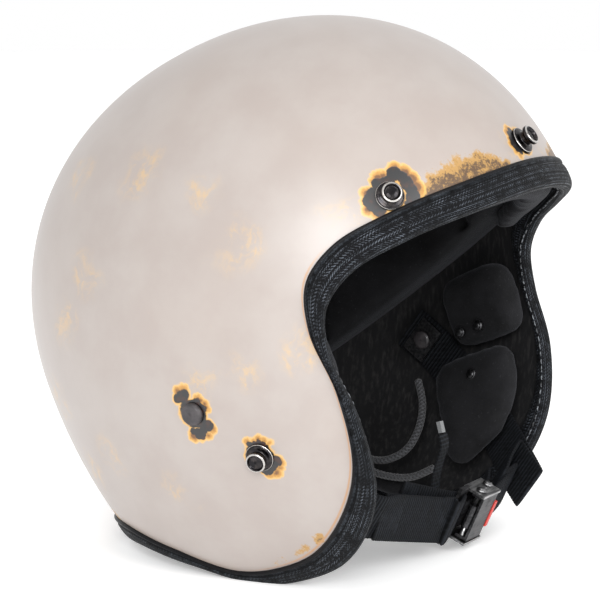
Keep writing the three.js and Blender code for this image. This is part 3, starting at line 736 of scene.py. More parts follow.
def inner_coat_material():
    """Rough black paint inside the shell, thin in places over the moulded fibres."""
    s = Surface("inner_coat", (0.012, 0.012, 0.013), 0.8, specular_ior_level=0.2)
    brushed = s.noise(0.002, 4, 0.6, stretch=(1, 1, 0.25))
    patches = s.noise(0.02, 3)
    s.colour(s.mix(brushed.between(0.45, 0.75), (0.011, 0.011, 0.012), (0.03, 0.029, 0.029)))
    s.roughness(0.75 + patches * 0.2)
    s.bump(brushed, 0.0002, 0.6)
    return s.material


# ------------------------------------------------------------ materials


def band_material():
    """Black herringbone tape: columns of slanting threads, with a smooth bead at the paint."""
    s = Surface("herringbone_band", (0.015, 0.016, 0.019), 0.7, specular_ior_level=0.12)
    along, across = s.weave()
    column = across / 0.0024
    slope = column.floor().modulo(2.0) * 2.0 - 1.0
    inside = column.fraction()
    thread = (along / 0.0017 + slope * inside * 1.4 + s.noise(0.004, 2) * 0.15).fraction()
    ridge = (thread * math.pi).sin() ** 0.8
    ends = (inside * math.pi).sin() ** 0.5
    lift = ridge * ends
    bead = 1.0 - across.between(0.0026, 0.0031)
    lift = lift * (1.0 - bead) + bead * 0.85
    wear = s.noise(0.004, 4, 0.7).between(0.36, 0.6)
    patches = s.noise(0.012, 3, 0.6).between(0.3, 0.7)
    # Painted highlight: the raised threads are painted a lighter blue grey in noisy patches, as
    # glints.
    shine = lift.between(0.6, 0.95) * wear * (patches * 0.7 + 0.4)
    tone = s.mix(shine.clamped(), (0.004, 0.0043, 0.0052), (0.085, 0.097, 0.115))
    tone = s.mix(bead, tone, (0.006, 0.006, 0.007))
    s.colour(tone)
    s.roughness(0.62 - shine * 0.2 - bead * 0.15)
    s.bump(lift + s.noise(0.0006, 2) * 0.25, 0.0005, 0.9)
    return s.material


def velvet_material():
    s = Surface("black_velvet", (0.01, 0.01, 0.011), 0.95, specular_ior_level=0.15,
                sheen_weight=0.12, sheen_roughness=0.4)
    s.shader.inputs["Sheen Tint"].default_value = (0.5, 0.52, 0.58, 1)
    pile = s.noise(0.0008, 4, 0.75)
    nap = s.noise(0.02, 3, 0.6)
    tone = s.mix(nap.between(0.3, 0.7), (0.006, 0.006, 0.0065), (0.013, 0.013, 0.0145))
    lint = (pile * 0.7 + s.noise(0.0016, 2) * 0.4).between(0.66, 0.78)
    s.colour(s.mix(lint * 0.7, tone, (0.05, 0.05, 0.055)))
    s.roughness(0.85 + nap * 0.12)
    s.bump(pile * 0.6 + nap, 0.0006, 0.7)
    return s.material


def foam_material():
    s = Surface("black_foam", (0.02, 0.02, 0.021), 0.9)
    beads = s.cells(0.0035)
    s.colour(s.mix(beads.between(0.25, 0.6), (0.028, 0.028, 0.03), (0.008, 0.008, 0.009)))
    s.roughness(0.8 + beads * 0.15)
    s.bump(1.0 - beads, 0.0006)
    return s.material


def black_nickel_material():
    s = Surface("black_nickel", (0.1, 0.1, 0.105), 0.22, metallic=1.0)
    haze = s.noise(0.003, 4, 0.6)
    s.colour(s.mix(haze.between(0.4, 0.75), (0.025, 0.024, 0.026), (0.07, 0.062, 0.06)))
    s.roughness(0.16 + haze.between(0.35, 0.8) * 0.22)
    s.bump(s.noise(0.0007, 3), 0.00004, 0.5)
    return s.material


def bright_rim_material():
    s = Surface("worn_bright_rim", (0.5, 0.48, 0.46), 0.22, metallic=1.0)
    wear = s.noise(0.002, 4, 0.65)
    s.colour(s.mix(wear.between(0.5, 0.75), (0.52, 0.5, 0.48), (0.24, 0.22, 0.21)))
    s.roughness(0.18 + wear * 0.2)
    s.bump(wear, 0.00005, 0.5)
    return s.material


def rivet_material():
    s = Surface("rivet_paint", (0.06, 0.05, 0.055), 0.5, coat_weight=0.2)
    patches = s.noise(0.004, 4, 0.6)
    scuffs = s.noise(0.0009, 4, 0.7)
    tone = s.mix(patches.between(0.35, 0.7), (0.022, 0.02, 0.022), (0.05, 0.043, 0.046))
    s.colour(s.mix(scuffs.between(0.66, 0.78) * 0.4, tone, (0.2, 0.17, 0.16)))
    s.roughness(0.4 + patches * 0.25)
    s.bump(scuffs, 0.00008, 0.6)
    return s.material


def webbing_material():
    """Ribbed nylon: the ribs are modelled, the yarns across them are in the weave."""
    s = Surface("nylon_webbing", (0.015, 0.016, 0.019), 0.6, specular_ior_level=0.08)
    along, across = s.weave()
    rib = ((along / RIB_PITCH) * (2 * math.pi)).sin() * 0.5 + 0.5
    yarn = ((across / 0.00062 + along / RIB_PITCH * 0.5) * (2 * math.pi)).sin() * 0.5 + 0.5
    wear = s.noise(0.005, 4, 0.65)
    # Painted highlight: the rib crests are painted a lighter blue grey, patchy by noise.
    tone = s.mix(rib.between(0.45, 1.0) * wear.between(0.25, 0.6), (0.005, 0.0053, 0.006),
                 (0.016, 0.018, 0.0225))
    s.colour(s.mix(yarn.between(0.75, 1.0) * 0.35, tone, (0.02, 0.022, 0.025)))
    s.roughness(0.5 + wear * 0.25)
    s.bump(yarn * 0.5 + s.noise(0.0004, 2) * 0.5, 0.00018, 0.8)
    return s.material


def braid_material():
    s = Surface("braided_piping", (0.02, 0.021, 0.024), 0.75, sheen_weight=0.2)
    along, across = s.weave()
    one = ((along / 0.0021 + across) * (2 * math.pi)).sin()
    other = ((along / 0.0021 - across) * (2 * math.pi)).sin()
    plait = one.max(other) * 0.5 + 0.5
    s.colour(s.mix(plait.between(0.55, 1.0), (0.008, 0.008, 0.009), (0.055, 0.057, 0.064)))
    s.roughness(0.85 - plait * 0.2)
    s.bump(plait + s.noise(0.0005, 2) * 0.3, 0.0004, 0.9)
    return s.material


def steel_material(name, dark, bright, gloss):
    s = Surface(name, dark, gloss, metallic=1.0)
    brushed = s.noise(0.0012, 4, 0.6, stretch=(0.12, 1, 1))
    stains = s.noise(0.006, 4, 0.6)
    tone = s.mix(brushed.between(0.35, 0.7), dark, bright)
    s.colour(s.mix(stains.between(0.55, 0.8) * 0.5, tone, tuple(0.35 * c for c in dark)))
    s.roughness(gloss + brushed * 0.12 + stains.between(0.5, 0.8) * 0.15)
    s.bump(brushed * 0.6 + s.noise(0.0006, 3) * 0.4, 0.00005, 0.5)
    return s.material


def plastic_material(name, colour, worn):
    s = Surface(name, colour, 0.4, coat_weight=0.1)
    rubs = s.noise(0.0025, 4, 0.65)
    s.colour(s.mix(rubs.between(0.55, 0.75) * 0.6, colour, worn))
    s.roughness(0.34 + rubs * 0.25)
    s.bump(s.noise(0.0004, 2), 0.00005, 0.4)
    return s.material


def thread_material():
    s = Surface("pale_thread", (0.3, 0.31, 0.33), 0.7, sheen_weight=0.2)
    grubby = s.noise(0.006, 4, 0.7)
    tone = s.mix(grubby.between(0.4, 0.62), (0.015, 0.016, 0.018), (0.2, 0.215, 0.235))
    s.colour(tone)
    s.roughness(0.6 + grubby * 0.25)
    s.bump(s.noise(0.0003, 2), 0.0001)
    return s.material


PAINT = paint_material()
INNER_COAT = inner_coat_material()
BAND = band_material()
VELVET = velvet_material()
FOAM = foam_material()
BLACK_NICKEL = black_nickel_material()
BRIGHT_RIM = bright_rim_material()
RIVET_PAINT = rivet_material()
WEBBING = webbing_material()
BRAID = braid_material()
STEEL = steel_material("buckle_steel", (0.16, 0.16, 0.165), (0.5, 0.5, 0.5), 0.26)
DARK_STEEL = steel_material("dark_steel", (0.045, 0.045, 0.048), (0.11, 0.11, 0.115), 0.34)
RED = plastic_material("red_plastic", (0.55, 0.03, 0.02), (0.3, 0.02, 0.015))
GREY = plastic_material("grey_plastic", (0.16, 0.165, 0.17), (0.1, 0.105, 0.11))
THREAD = thread_material()


# ------------------------------------------------------------ shell


def shell_ring(share, rays):
    """Directions at one share of the way from the crown down to just above the band."""
    edge = edge_at(rays)
    reach = np.arccos(edge @ CROWN) * shell_reach(edge)
    start = BAND_OUTSIDE + 0.004
    return edge_direction(rays, start + (1 - share) * (reach - start))


def make_shell():
    rays = np.linspace(0, 1, 240, endpoint=False)
    shares = np.linspace(0.015, 1, 58)
    backs = np.array([0.0165, 0.0155, 0.0146, 0.012, 0.009, 0.006, BAND_SHELL_EDGE + 0.0004])
    rings = [shell_ring(share, rays) for share in shares]
    rings += [edge_direction(rays, back) for back in backs]
    lip = edge_direction(rays, BAND_SHELL_EDGE)
    outer = [wall_point(ring) for ring in rings]
    rim = [wall_point(lip, depth) for depth in (0.0004, SHELL_THICKNESS - 0.0004)]
    inner = [wall_point(ring, SHELL_THICKNESS) for ring in rings[::-1]]
    obj = loft("shell_painted", outer + rim + inner)

    edge = edge_at(rays)
    reach = np.arccos(edge @ CROWN) * shell_reach(edge)
    start = BAND_OUTSIDE + 0.004
    back = [start + (1 - share) * (reach - start) for share in shares]
    back += [np.full_like(reach, b) for b in backs]
    both = back + [np.full_like(reach, BAND_SHELL_EDGE)] * 2 + back[::-1]
    hub = [reach.mean()] * 2
    set_attribute(obj, "rim", np.concatenate([np.concatenate(both), hub]))

    fold = np.minimum(rays, 1 - rays)
    face_side = np.clip((fold - 0.13) / 0.02, 0, 1) * np.clip((0.34 - fold) / 0.04, 0, 1)
    neck_side = np.clip((fold - 0.28) / 0.04, 0, 1)
    for name, values in (("face_side", face_side), ("neck_side", neck_side)):
        set_attribute(obj, name, np.concatenate([np.tile(values, len(both)), [0, 0]]))
    finish_piece(obj, "helmet", "shell_paint", PAINT, "outer_shell")
    obj.data.materials.append(INNER_COAT)
    inside = np.arange(len(obj.data.polygons)) >= len(rays) * len(outer)
    inside[-2 * len(rays)::2] = False
    obj.data.polygons.foreach_set("material_index", inside.astype(int))


# ------------------------------------------------------------ edge band

# The band's section in millimetres as (back from the edge, depth), from the paint over the
# outside, round the edge and back along the inside to the lining.
BAND_SECTION = [
    (14.7, 0.1), (14.65, -0.9), (14.2, -1.5), (13.4, -1.65), (12.5, -1.3), (11.9, -1.35),
    (10.5, -1.9), (8, -2.15), (5, -2.1), (2.6, -1.7), (0.9, -0.6), (0.1, 1.6), (0.5, 3.8), (1.7, 5.2),
    (3.2, 5.6), (6, 5.65), (10, 5.6), (11.6, 5.2), (12, 4.1), (10, 3.6), (4.4, 3.7), (3.6, 3),
    (3.5, 1.6), (3.6, 0.4), (4.6, -0.2), (12.6, -0.2),
]


def make_band():
    stations = np.linspace(0, 1, 560, endpoint=False)
    around = np.linspace(0, 1, 64, endpoint=False)
    section = catmull_rom(np.array(BAND_SECTION), around, closed=True)
    back, depth = section[:, 0] * MM, section[:, 1] * MM
    loops = edge_point(stations[:, None], back[None, :], depth[None, :])
    loops[..., 2] = np.maximum(loops[..., 2], 0.0)
    obj = loft("edge_band", loops, ring=True)
    lip = loops[:, 20]
    steps = np.linalg.norm(np.roll(lip, -1, axis=0) - lip, axis=1)
    along = np.concatenate([[0], np.cumsum(steps)])
    closed_section = np.concatenate([section, section[:1]]) * MM
    lengths = np.linalg.norm(np.diff(closed_section, axis=0), axis=1)
    across = np.concatenate([[0], np.cumsum(lengths)])
    set_weave_map(obj, len(stations), len(section), along, across, ring=True)
    finish_piece(obj, "helmet", "edge_band", BAND, "edge_trim")


def tube_points(path, radius, around):
    """Loops round a path of points, square to it, with a radius for each point."""
    path = np.asarray(path)
    radius = np.broadcast_to(radius, len(path))
    tangent = normalized(np.gradient(path, axis=0))
    side = normalized(np.cross(tangent, [0.13, 0.21, 0.97]))
    up = np.cross(side, tangent)
    angle = np.linspace(0, 2 * math.pi, around, endpoint=False)
    ring = np.cos(angle)[None, :, None] * side[:, None] + np.sin(angle)[None, :, None] * up[:, None]
    return path[:, None] + ring * radius[:, None, None]


def join(objects, name):
    """One object from several, with the first one's name replaced."""
    for obj in bpy.context.selected_objects:
        obj.select_set(False)
    for obj in objects:
        obj.select_set(True)
    bpy.context.view_layer.objects.active = objects[0]
    bpy.ops.object.join()
    objects[0].name = name
    objects[0].data.name = name
    return objects[0]


def make_stitching():
    """A line of stitches where the band is turned in against the lining."""
    random = np.random.default_rng(7)
    count = 230
    stitches = []
    for i in range(count):
        start = (i + random.uniform(0.05, 0.2)) / count
        end = (i + random.uniform(0.66, 0.9)) / count
        back = 0.0022 + random.normal(0, 0.0002)
        turn = np.linspace(start, end, 5)
        rise = 0.0003 * np.sin(np.linspace(0, math.pi, 5))
        path = edge_point(turn, back + random.normal(0, 0.0001, 5), 0.0055 + rise)
        radius = 0.00032 * np.array([0.4, 0.95, 1, 0.95, 0.4])
        stitches.append(loft(f"stitch_{i}", tube_points(path, radius, 6)))
    obj = join(stitches, "band_stitching")
    finish_piece(obj, "helmet", "edge_band", THREAD)


# ------------------------------------------------------------ soft lining


def settled(obj, voxel, cap, pressure=4.0, frames=20, hold=None):
    """Remeshes a closed form, swells it as cloth under pressure and keeps the swollen shape.
    No point moves more than cap. Hold gives each point's share that stays in place."""
    remesh = obj.modifiers.new("remesh", "REMESH")
    remesh.mode = "VOXEL"
    remesh.voxel_size = voxel
    bake_modifiers(obj)
    before = vertices_of(obj)
    if hold is not None:
        group = obj.vertex_groups.new(name="held")
        for index, weight in enumerate(hold(before)):
            if weight > 0.02:
                group.add([index], float(weight), "REPLACE")
    cloth = obj.modifiers.new("cloth", "CLOTH")
    cloth.settings.use_pressure = True
    cloth.settings.uniform_pressure_force = pressure
    cloth.settings.effector_weights.gravity = 0
    cloth.settings.quality = 5
    if hold is not None:
        cloth.settings.vertex_group_mass = "held"
    for step in range(1, frames + 1):
        bpy.context.scene.frame_set(step)
    bake_modifiers(obj)
    bpy.context.scene.frame_set(1)
    moved = vertices_of(obj) - before
    length = np.linalg.norm(moved, axis=1, keepdims=True)
    moved *= np.minimum(1, cap / np.maximum(length, 1e-9))
    set_vertices(obj, before + moved)
    smooth = obj.modifiers.new("smooth", "SMOOTH")
    smooth.factor = 0.5
    smooth.iterations = 3
    finer = obj.modifiers.new("finer", "SUBSURF")
    finer.levels = finer.render_levels = 1
    bake_modifiers(obj)
    obj.data.polygons.foreach_set("use_smooth", [True] * len(obj.data.polygons))
    return obj


def vertices_of(obj):
    co = np.empty(len(obj.data.vertices) * 3)
    obj.data.vertices.foreach_get("co", co)
    return co.reshape(-1, 3)


def set_vertices(obj, co):
    obj.data.vertices.foreach_set("co", co.ravel())
    obj.data.update()


def bake_modifiers(obj):
    graph = bpy.context.evaluated_depsgraph_get()
    mesh = bpy.data.meshes.new_from_object(obj.evaluated_get(graph))
    obj.modifiers.clear()
    obj.data = mesh


def between(pair, share):
    """From the first of two values at share -1 to the second at share 1."""
    return (pair[0] + pair[1]) / 2 + share * (pair[1] - pair[0]) / 2


def along_edge(turn, back):
    """A place on a strip that follows the opening edge."""
    return lambda along, across: edge_direction(between(turn, along), between(back, across))


def on_side(sign, azimuth, elevation):
    """A place on a level patch at the side of the head, kept clear of the opening's edge."""
    edge_azimuth, edge_elevation = np.array(OPENING_EDGE[CHEEK_CORNER:]).T

    def place(along, across):
        a = between(azimuth, along)
        low = np.maximum(elevation[0], np.interp(a, edge_azimuth, edge_elevation) + EDGE_MARGIN)
        return direction_of(sign * a + 0 * across, between((low, elevation[1]), across))
    return place


def pillow(name, place, depth, lengthwise, around=28, square=0.6, tucks=None):
    """A pillow against the wall. Place gives the direction for shares from -1 to 1 along it and
    across it. Tucks gives how far its free sides are drawn in, by place along it from 0 to 1."""
    along = np.linspace(-0.985, 0.985, lengthwise)[:, None]
    full = (1 - np.abs(along) ** 5) ** (1 / 5)
    drawn = tucks((along + 1) / 2) if tucks else np.zeros_like(along)
    angle = np.linspace(0, 2 * math.pi, around, endpoint=False)[None, :]
    c = np.sign(np.cos(angle)) * np.abs(np.cos(angle)) ** square
    s = np.sign(np.sin(angle)) * np.abs(np.sin(angle)) ** square
    # A tuck draws in the free sides only: the side against the wall stays where it is.
    across = full * c * np.where(c > 0, 1 - 0.5 * drawn, 1)
    through = full * s * np.where(s > 0, 1 - drawn, 1)
    return loft(name, wall_point(place(along, across), between(depth, through)))


def scallops(count, draw=0.34, sharp=0.45):
    """Tucks that leave this many puffs between them."""
    def share(place):
        return draw * (1 - np.abs(np.sin(math.pi * count * place)) ** sharp)
    return share


UNDER_BAND = SHELL_THICKNESS + 0.0024
BEHIND_STRAP = 0.0147
EDGE_MARGIN = 3.7


def make_pad(name, nodes, place, fill=0.75, **shape):
    pad = settled(pillow(name, place, **shape), voxel=0.0034, cap=0.0013)
    finish_piece(pad, "helmet", "velvet", VELVET, *nodes)


def make_pads():
    make_pad("brow_roll", ["brow_pad"], along_edge((-0.136, 0.136), (0.002, 0.0139)),
             depth=(UNDER_BAND, 0.0258), lengthwise=150, tucks=scallops(6))
    make_pad("neck_roll_padded", ["neck_roll"], along_edge((0.3255, 0.6745), (0.002, 0.025)),
             depth=(UNDER_BAND, 0.0208), lengthwise=150, tucks=scallops(5, draw=0.12))
    for side, sign in (("right", 1), ("left", -1)):
        make_pad(f"temple_pad_{side}_padded", [f"temple_pad_{side}"],
                 on_side(sign, (60.7, 83.7), (-25.3, -6.7)),
                 depth=(UNDER_BAND, 0.0231), lengthwise=60)
        make_pad(f"cheek_pad_{side}_padded", [f"cheek_pad_{side}"],
                 on_side(sign, (62.3, 92.7), (-60, -27.3)),
                 depth=(BEHIND_STRAP, 0.0276), lengthwise=70)


LINING_DEPTH = 0.031


def liner_edge(azimuth):
    """Elevation of the foam liner's lower edge round the head."""
    return -4 + 12.5 * np.cos(np.radians(azimuth))


def make_crown_lining():
    """Quilted panels meeting at the crown, turned out under the foam liner's lower edge."""
    azimuth = np.linspace(0, 360, 240, endpoint=False)
    panels = 6
    across = np.abs((azimuth / 360 * panels) % 1 - 0.5) * 2
    seam = np.exp(-((1 - across) / 0.09) ** 2)
    loops = []
    for share in np.linspace(0.03, 1, 44):
        elevation = 90 + share * (liner_edge(azimuth) + 1.0 - 90)
        fade = min(1, share / 0.3)
        depth = LINING_DEPTH + 0.0005 - 0.0035 * seam * fade
        loops.append(wall_point(direction_of(azimuth, elevation), depth))
    for drop, depth in ((0.4, 0.0302), (-0.3, 0.0287), (-0.8, 0.0262), (-1.0, 0.022), (-1.0, 0.014),
                        (-0.9, 0.0062), (-0.3, 0.0052), (0.0, 0.0062)):
        elevation = liner_edge(azimuth) + drop
        loops.append(wall_point(direction_of(azimuth, elevation), depth))
    for drop, depth in ((0.0, 0.014), (0.0, 0.022), (0.3, 0.0246)):
        elevation = liner_edge(azimuth) + drop - 0.25
        loops.append(wall_point(direction_of(azimuth, elevation), depth))
    for share in np.linspace(1, 0.03, 16)[1:]:
        elevation = 90 + share * (liner_edge(azimuth) - 90)
        loops.append(wall_point(direction_of(azimuth, elevation), 0.0253))
    obj = loft("crown_lining", loops)
    finish_piece(obj, "helmet", "velvet", VELVET, "crown_pad_right", "crown_pad_left")


# The middle lines of the piped seams, as azimuth and elevation.
PIPING_RUNS = {
    "upper": [(97, -29), (97.5, -36), (101, -42), (107, -45.5), (116, -45), (128, -36)],
    "lower": [(97, -53.5), (107, -53), (116, -49.5), (124, -43.5)],
}


def make_piping():
    for side, sign in (("right", 1), ("left", -1)):
        for where, places in PIPING_RUNS.items():
            directions = [direction_of(sign * a, e) for a, e in places]
            path = wall_point(normalized(catmull_rom(directions, np.linspace(0, 1, 160))), 0.024)
            steps = np.linalg.norm(np.diff(path, axis=0), axis=1)
            along = np.concatenate([[0], np.cumsum(steps)])
            share = along / along[-1]
            ends = np.minimum(1, np.sqrt(share * (1 - share) * 120))
            obj = loft(f"cheek_cord_{where}_{side}", tube_points(path, 0.0018 * ends + 1e-4, 16))
            set_weave_map(obj, 160, 16, along, np.linspace(0, 4, 17))
            finish_piece(obj, "helmet", "webbing", BRAID, f"cheek_piping_{where}_{side}")


# ------------------------------------------------------------ studs, rivets and snaps


def stud_profile():
    flange, post, top = STUD_FLANGE_RADIUS, STUD_POST_RADIUS, STUD_HEIGHT
    body = [
        (0, -0.003), (0.0023, -0.003), (0.0023, 0.0001), (flange, 0.0001), (flange, 0.0009),
        (flange - 0.0008, 0.0014), (0.0044, 0.0016), (0.0036, 0.0019), (0.0035, top - 0.0027),
        (post, top - 0.0019), (post, top - 0.0006), (post - 0.0005, top), (0.0036, top),
        (0.0031, top - 0.0009), (0.0029, top - 0.0011), (0.0017, top - 0.0009), (0, top - 0.0007),
    ]
    return rounded(body, 0.00028)


def paint_rims(obj, heights, body_material, rim_material):
    """Gives the bright material to the faces whose middles lie in the (radius, height) boxes."""
    obj.data.materials.append(body_material)
    obj.data.materials.append(rim_material)
    for face in obj.data.polygons:
        x, y, z = face.center
        radius = math.hypot(x, y)
        for (r0, r1), (z0, z1) in heights:
            if r0 <= radius <= r1 and z0 <= z <= z1:
                face.material_index = 1


def make_studs():
    post, flange, top = STUD_POST_RADIUS, STUD_FLANGE_RADIUS, STUD_HEIGHT
    rims = [
        ((post - 0.0009, post - 0.0001), (top - 0.0004, top + 1e-4)),
        ((flange - 0.0003, flange + 1e-4), (0.0008, 0.0016)),
    ]
    for node, place in STUDS.items():
        obj = lathe(node.replace("stud", "snap_stud"), stud_profile(), 64)
        paint_rims(obj, rims, BLACK_NICKEL, BRIGHT_RIM)
        direction = direction_of(*place)
        stand_on(obj, wall_point(direction), wall_normal(direction))
        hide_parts(node)
        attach(obj, "helmet")


def make_rivets():
    r, h = RIVET_RADIUS, RIVET_HEIGHT
    cap = [
        (0, -0.002), (0.003, -0.002), (0.003, 0.0001), (r, 0.0001), (r, h - 0.0012),
        (r - 0.0009, h - 0.0001), (r - 0.0013, h - 0.00005), (0.002, h + 0.00005), (0, h),
    ]
    tail = [
        (0, 0), (0.0042, 0), (0.0047, 0.0004), (0.0046, 0.0011), (0.0036, 0.0017), (0.0015, 0.002),
        (0, 0.0021),
    ]
    for side, sign in (("right", -1), ("left", 1)):
        azimuth, elevation = RIVET_PLACE
        direction = direction_of(-sign * azimuth, elevation)
        obj = lathe(f"strap_rivet_cap_{side}", rounded(cap, 0.0004), 64)
        stand_on(obj, wall_point(direction), wall_normal(direction))
        inner = lathe(f"strap_rivet_tail_{side}", rounded(tail, 0.0003), 40)
        inner_x = STRAP_WALL_X - STRAP_THICKNESS / 2 - 0.0018
        stand_on(inner, (sign * inner_x, *RIVET_AXIS[1:]), (-sign, 0, 0))
        finish_piece(obj, "helmet", "black_paint", RIVET_PAINT, f"strap_rivet_{side}")
        finish_piece(inner, "helmet", "black_paint", RIVET_PAINT)


def make_lining_snaps():
    places = {
        "upper_front": (72, -21.5, 0.0235), "upper_rear": (79, -21.5, 0.0235),
        "lower": (76, -34, 0.028),
    }
    profile = [
        (0, -0.001), (0.003, -0.001), (0.003, 0.0006), (0.0026, 0.0012), (0.002, 0.0011),
        (0.0017, 0.0014), (0.0009, 0.0017), (0, 0.0018),
    ]
    for side, sign in (("right", 1), ("left", -1)):
        for where, (azimuth, elevation, depth) in places.items():
            direction = direction_of(sign * azimuth, elevation)
            obj = lathe(f"lining_popper_{where}_{side}", rounded(profile, 0.0002), 40)
            stand_on(obj, wall_point(direction, depth), -wall_normal(direction))
            finish_piece(obj, "helmet", "dark_steel", DARK_STEEL, f"lining_snap_{where}_{side}")


# ------------------------------------------------------------ chin strap


def hung_point(x, forward, down):
    """The point at x, this far forward of and below the rivets' axis."""
    x, forward, down = np.broadcast_arrays(x, forward, down)
    return RIVET_AXIS + np.stack([x, -forward, -down], -1)


def leaning(tilt):
    """The direction across webbing that leans this far forward from upright, in degrees."""
    angle = np.radians(tilt)
    return np.stack([0 * angle, -np.sin(angle), np.cos(angle)], -1)


def buckle_point(x, lift, rise):
    forward, down = np.array(BUCKLE_MIDDLE) * MM
    outwards = np.cross([1, 0, 0], leaning(BUCKLE_SLOPE))
    return hung_point(x, forward, down) + leaning(BUCKLE_SLOPE) * lift + outwards * rise


def even_line(control, spacing):
    """Points evenly spaced along a curve, with their distances from its start. Values after the
    first three of each control point are carried along."""
    fine = catmull_rom(control, np.linspace(0, 1, 2000))
    steps = np.linalg.norm(np.diff(fine[:, :3], axis=0), axis=1)
    lengths = np.concatenate([[0], np.cumsum(steps)])
    distance = np.linspace(0, lengths[-1], max(2, round(lengths[-1] / spacing)))
    return np.stack([np.interp(distance, lengths, axis) for axis in fine.T], -1), distance


def ribbon(name, path, along, wide, width, thickness, rib, across_ribs=0):
    """A webbing ribbon along a path of points. Rib gives the height of the ribs across it at each
    distance along; across_ribs is how many ridges run along it instead."""
    wide = np.broadcast_to(wide, path.shape)
    face = normalized(np.cross(np.gradient(path, axis=0), wide))
    angle = np.linspace(0, 2 * math.pi, 44, endpoint=False)
    c = np.sign(np.cos(angle)) * np.abs(np.cos(angle)) ** 0.28
    s = np.sign(np.sin(angle)) * np.abs(np.sin(angle)) ** 0.5
    ridges = 0.4 * np.abs(np.sin(across_ribs * math.pi * (c + 1) / 2)) if across_ribs else 0
    lift = (1 + rib(along))[:, None]
    offset = width / 2 * c[None, :, None] * (1 + 0.012 * rib(along))[:, None, None] * wide[:, None]
    height = thickness / 2 * (s * (1 - ridges))[None, :] * lift
    loops = path[:, None] + offset + face[:, None] * height[..., None]
    obj = loft(name, loops)
    set_weave_map(obj, len(path), 44, along, np.linspace(0, 2 * (width + thickness), 45))
    return obj


def strap_ribs(along):
    return 0.24 * np.sin(2 * math.pi * along / RIB_PITCH)


def make_strap_piece(name, line):
    x, forward, down, tilt = np.array(line, float).T
    control = np.column_stack([hung_point(x * MM, forward * MM, down * MM), tilt])
    path, along = even_line(control, RIB_PITCH / 6)
    obj = ribbon(name, path[:, :3], along, leaning(path[:, 3]), STRAP_WIDTH, STRAP_THICKNESS,
                 strap_ribs)
    obj.data.materials.append(WEBBING)
    return obj


def make_straps():
    """Ribbed webbing for both straps, the right one in two pieces: down the wall from the rivet, and
    on under the chin to the buckle."""
    held = hung_point(0.104, 0.0162, 0.0118)
    free = hung_point(0.0772, 0.0631, 0.0458)
    left = make_strap_piece("strap_left_ribbed", LEFT_STRAP_LINE)
    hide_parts("strap_webbing_left")
    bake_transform(left)
    upper = make_strap_piece("strap_right_upper_ribbed", WALL_RUN)
    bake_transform(upper)
    lower = make_strap_piece("strap_right_lower_ribbed", RIGHT_STRAP_LINE)
    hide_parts("strap_webbing_right")
    under = hung_point(-0.066, 0.068, 0.05)
    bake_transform(lower)


def make_pull_strip():
    x, forward, down = np.array(PULL_STRIP_LINE).T * MM
    path, along = even_line(hung_point(x, forward, down), 0.0008)
    obj = ribbon("pull_strip_ribbed", path, along, (1, 0, 0), PULL_STRIP_WIDTH,
                 PULL_STRIP_THICKNESS, lambda distance: 0 * distance, across_ribs=4)
    finish_piece(obj, "chin_strap", "webbing", WEBBING, "pull_strip")


def bevelled(node, material, width=0.00028):
    """A CAD node that stays, with softened edges and a material of its own."""
    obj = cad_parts[node]
    obj.data.materials.clear()
    obj.data.materials.append(material)
    bevel = obj.modifiers.new("soft_edges", "BEVEL")
    bevel.width = width
    bevel.segments = 2
    bevel.limit_method = "ANGLE"
    bevel.angle_limit = math.radians(35)
    bevel.harden_normals = True
    return obj


def make_pins():
    """The strap bar and the lever's pin, with domed heads outside the side plates."""
    half = 0.0141
    profile = [
        (0, -half - 0.0012), (0.0014, -half - 0.0011), (0.0025, -half - 0.0006), (0.0026, -half),
        (0.0015, -half), (0.0015, half), (0.0026, half), (0.0025, half + 0.0006),
        (0.0014, half + 0.0011), (0, half + 0.0012),
    ]
    for node, (x, rise) in PIN_PLACES.items():
        obj = lathe(f"{node}_domed", profile, 32)
        stand_on(obj, buckle_point(x, 0, rise), leaning(BUCKLE_SLOPE))
        finish_piece(obj, "chin_strap", "nickel", STEEL, node)


def make_buckle():
    bevelled("buckle_frame", STEEL)
    bevelled("ratchet_tongue", DARK_STEEL, 0.0002)
    bevelled("release_lever", DARK_STEEL)
    bevelled("release_tab", RED, 0.0006)
    bevelled("pull_strip_tip", GREY, 0.0008)
    bevelled("lever_spring", DARK_STEEL, 0.0001)
    for side in ("right", "left"):
        bevelled(f"strap_anchor_{side}", DARK_STEEL, 0.0003)


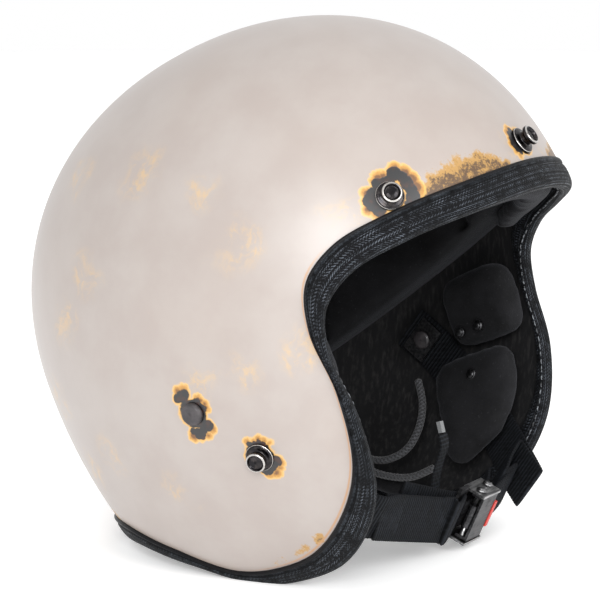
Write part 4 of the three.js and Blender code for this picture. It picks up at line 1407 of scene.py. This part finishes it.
# ------------------------------------------------------------ the room


def make_camera():
    camera = bpy.data.cameras.new("camera")
    camera.lens = CAMERA_LENS
    camera.sensor_width = 36
    camera.clip_end = 20
    obj = bpy.data.objects.new("camera", camera)
    bpy.context.collection.objects.link(obj)
    obj.location = CAMERA_PLACE
    obj.rotation_mode = "QUATERNION"
    obj.rotation_quaternion = (Vector(CAMERA_AIM) - obj.location).to_track_quat("-Z", "Y")
    bpy.context.scene.camera = obj


def make_lamp(name, place, size, power):
    lamp = bpy.data.lights.new(name, "AREA")
    lamp.shape = "DISK"
    lamp.size = size
    lamp.energy = power
    obj = bpy.data.objects.new(name, lamp)
    bpy.context.collection.objects.link(obj)
    obj.location = place
    obj.rotation_mode = "QUATERNION"
    obj.rotation_quaternion = (Vector(SHELL_CENTRE) - obj.location).to_track_quat("-Z", "Y")


def make_room():
    angles = np.linspace(0, 2 * math.pi, 64, endpoint=False)
    floor = loft("floor", [
        [(r * math.cos(a), r * math.sin(a), z) for a in angles]
        for r, z in ((0.5, 0.0), (4.0, 0.0), (4.0, -0.01), (0.5, -0.01))
    ])
    s = Surface("pale_floor", (0.9, 0.9, 0.9), 0.8,
                emission_color=(1, 1, 1, 1), emission_strength=0.25)
    s.colour(s.mix(s.noise(0.4, 2).between(0.3, 0.7), (0.92, 0.92, 0.92), (0.95, 0.95, 0.95)))
    floor.data.materials.append(s.material)
    world = bpy.data.worlds.new("studio")
    world.use_nodes = True
    world.node_tree.nodes["Background"].inputs[0].default_value = (1.0, 1.0, 1.0, 1)
    world.node_tree.nodes["Background"].inputs[1].default_value = 1.0
    bpy.context.scene.world = world
    bpy.context.scene.view_settings.view_transform = "Standard"
    for name, (place, size, power) in LAMPS.items():
        make_lamp(name, place, size, power)


make_shell()
make_band()
make_stitching()
make_pads()
make_crown_lining()
make_piping()
make_studs()
make_rivets()
make_lining_snaps()
make_straps()
make_pull_strip()
make_pins()
make_buckle()
bevelled("impact_liner", FOAM, 0.0002)
make_camera()
make_room()
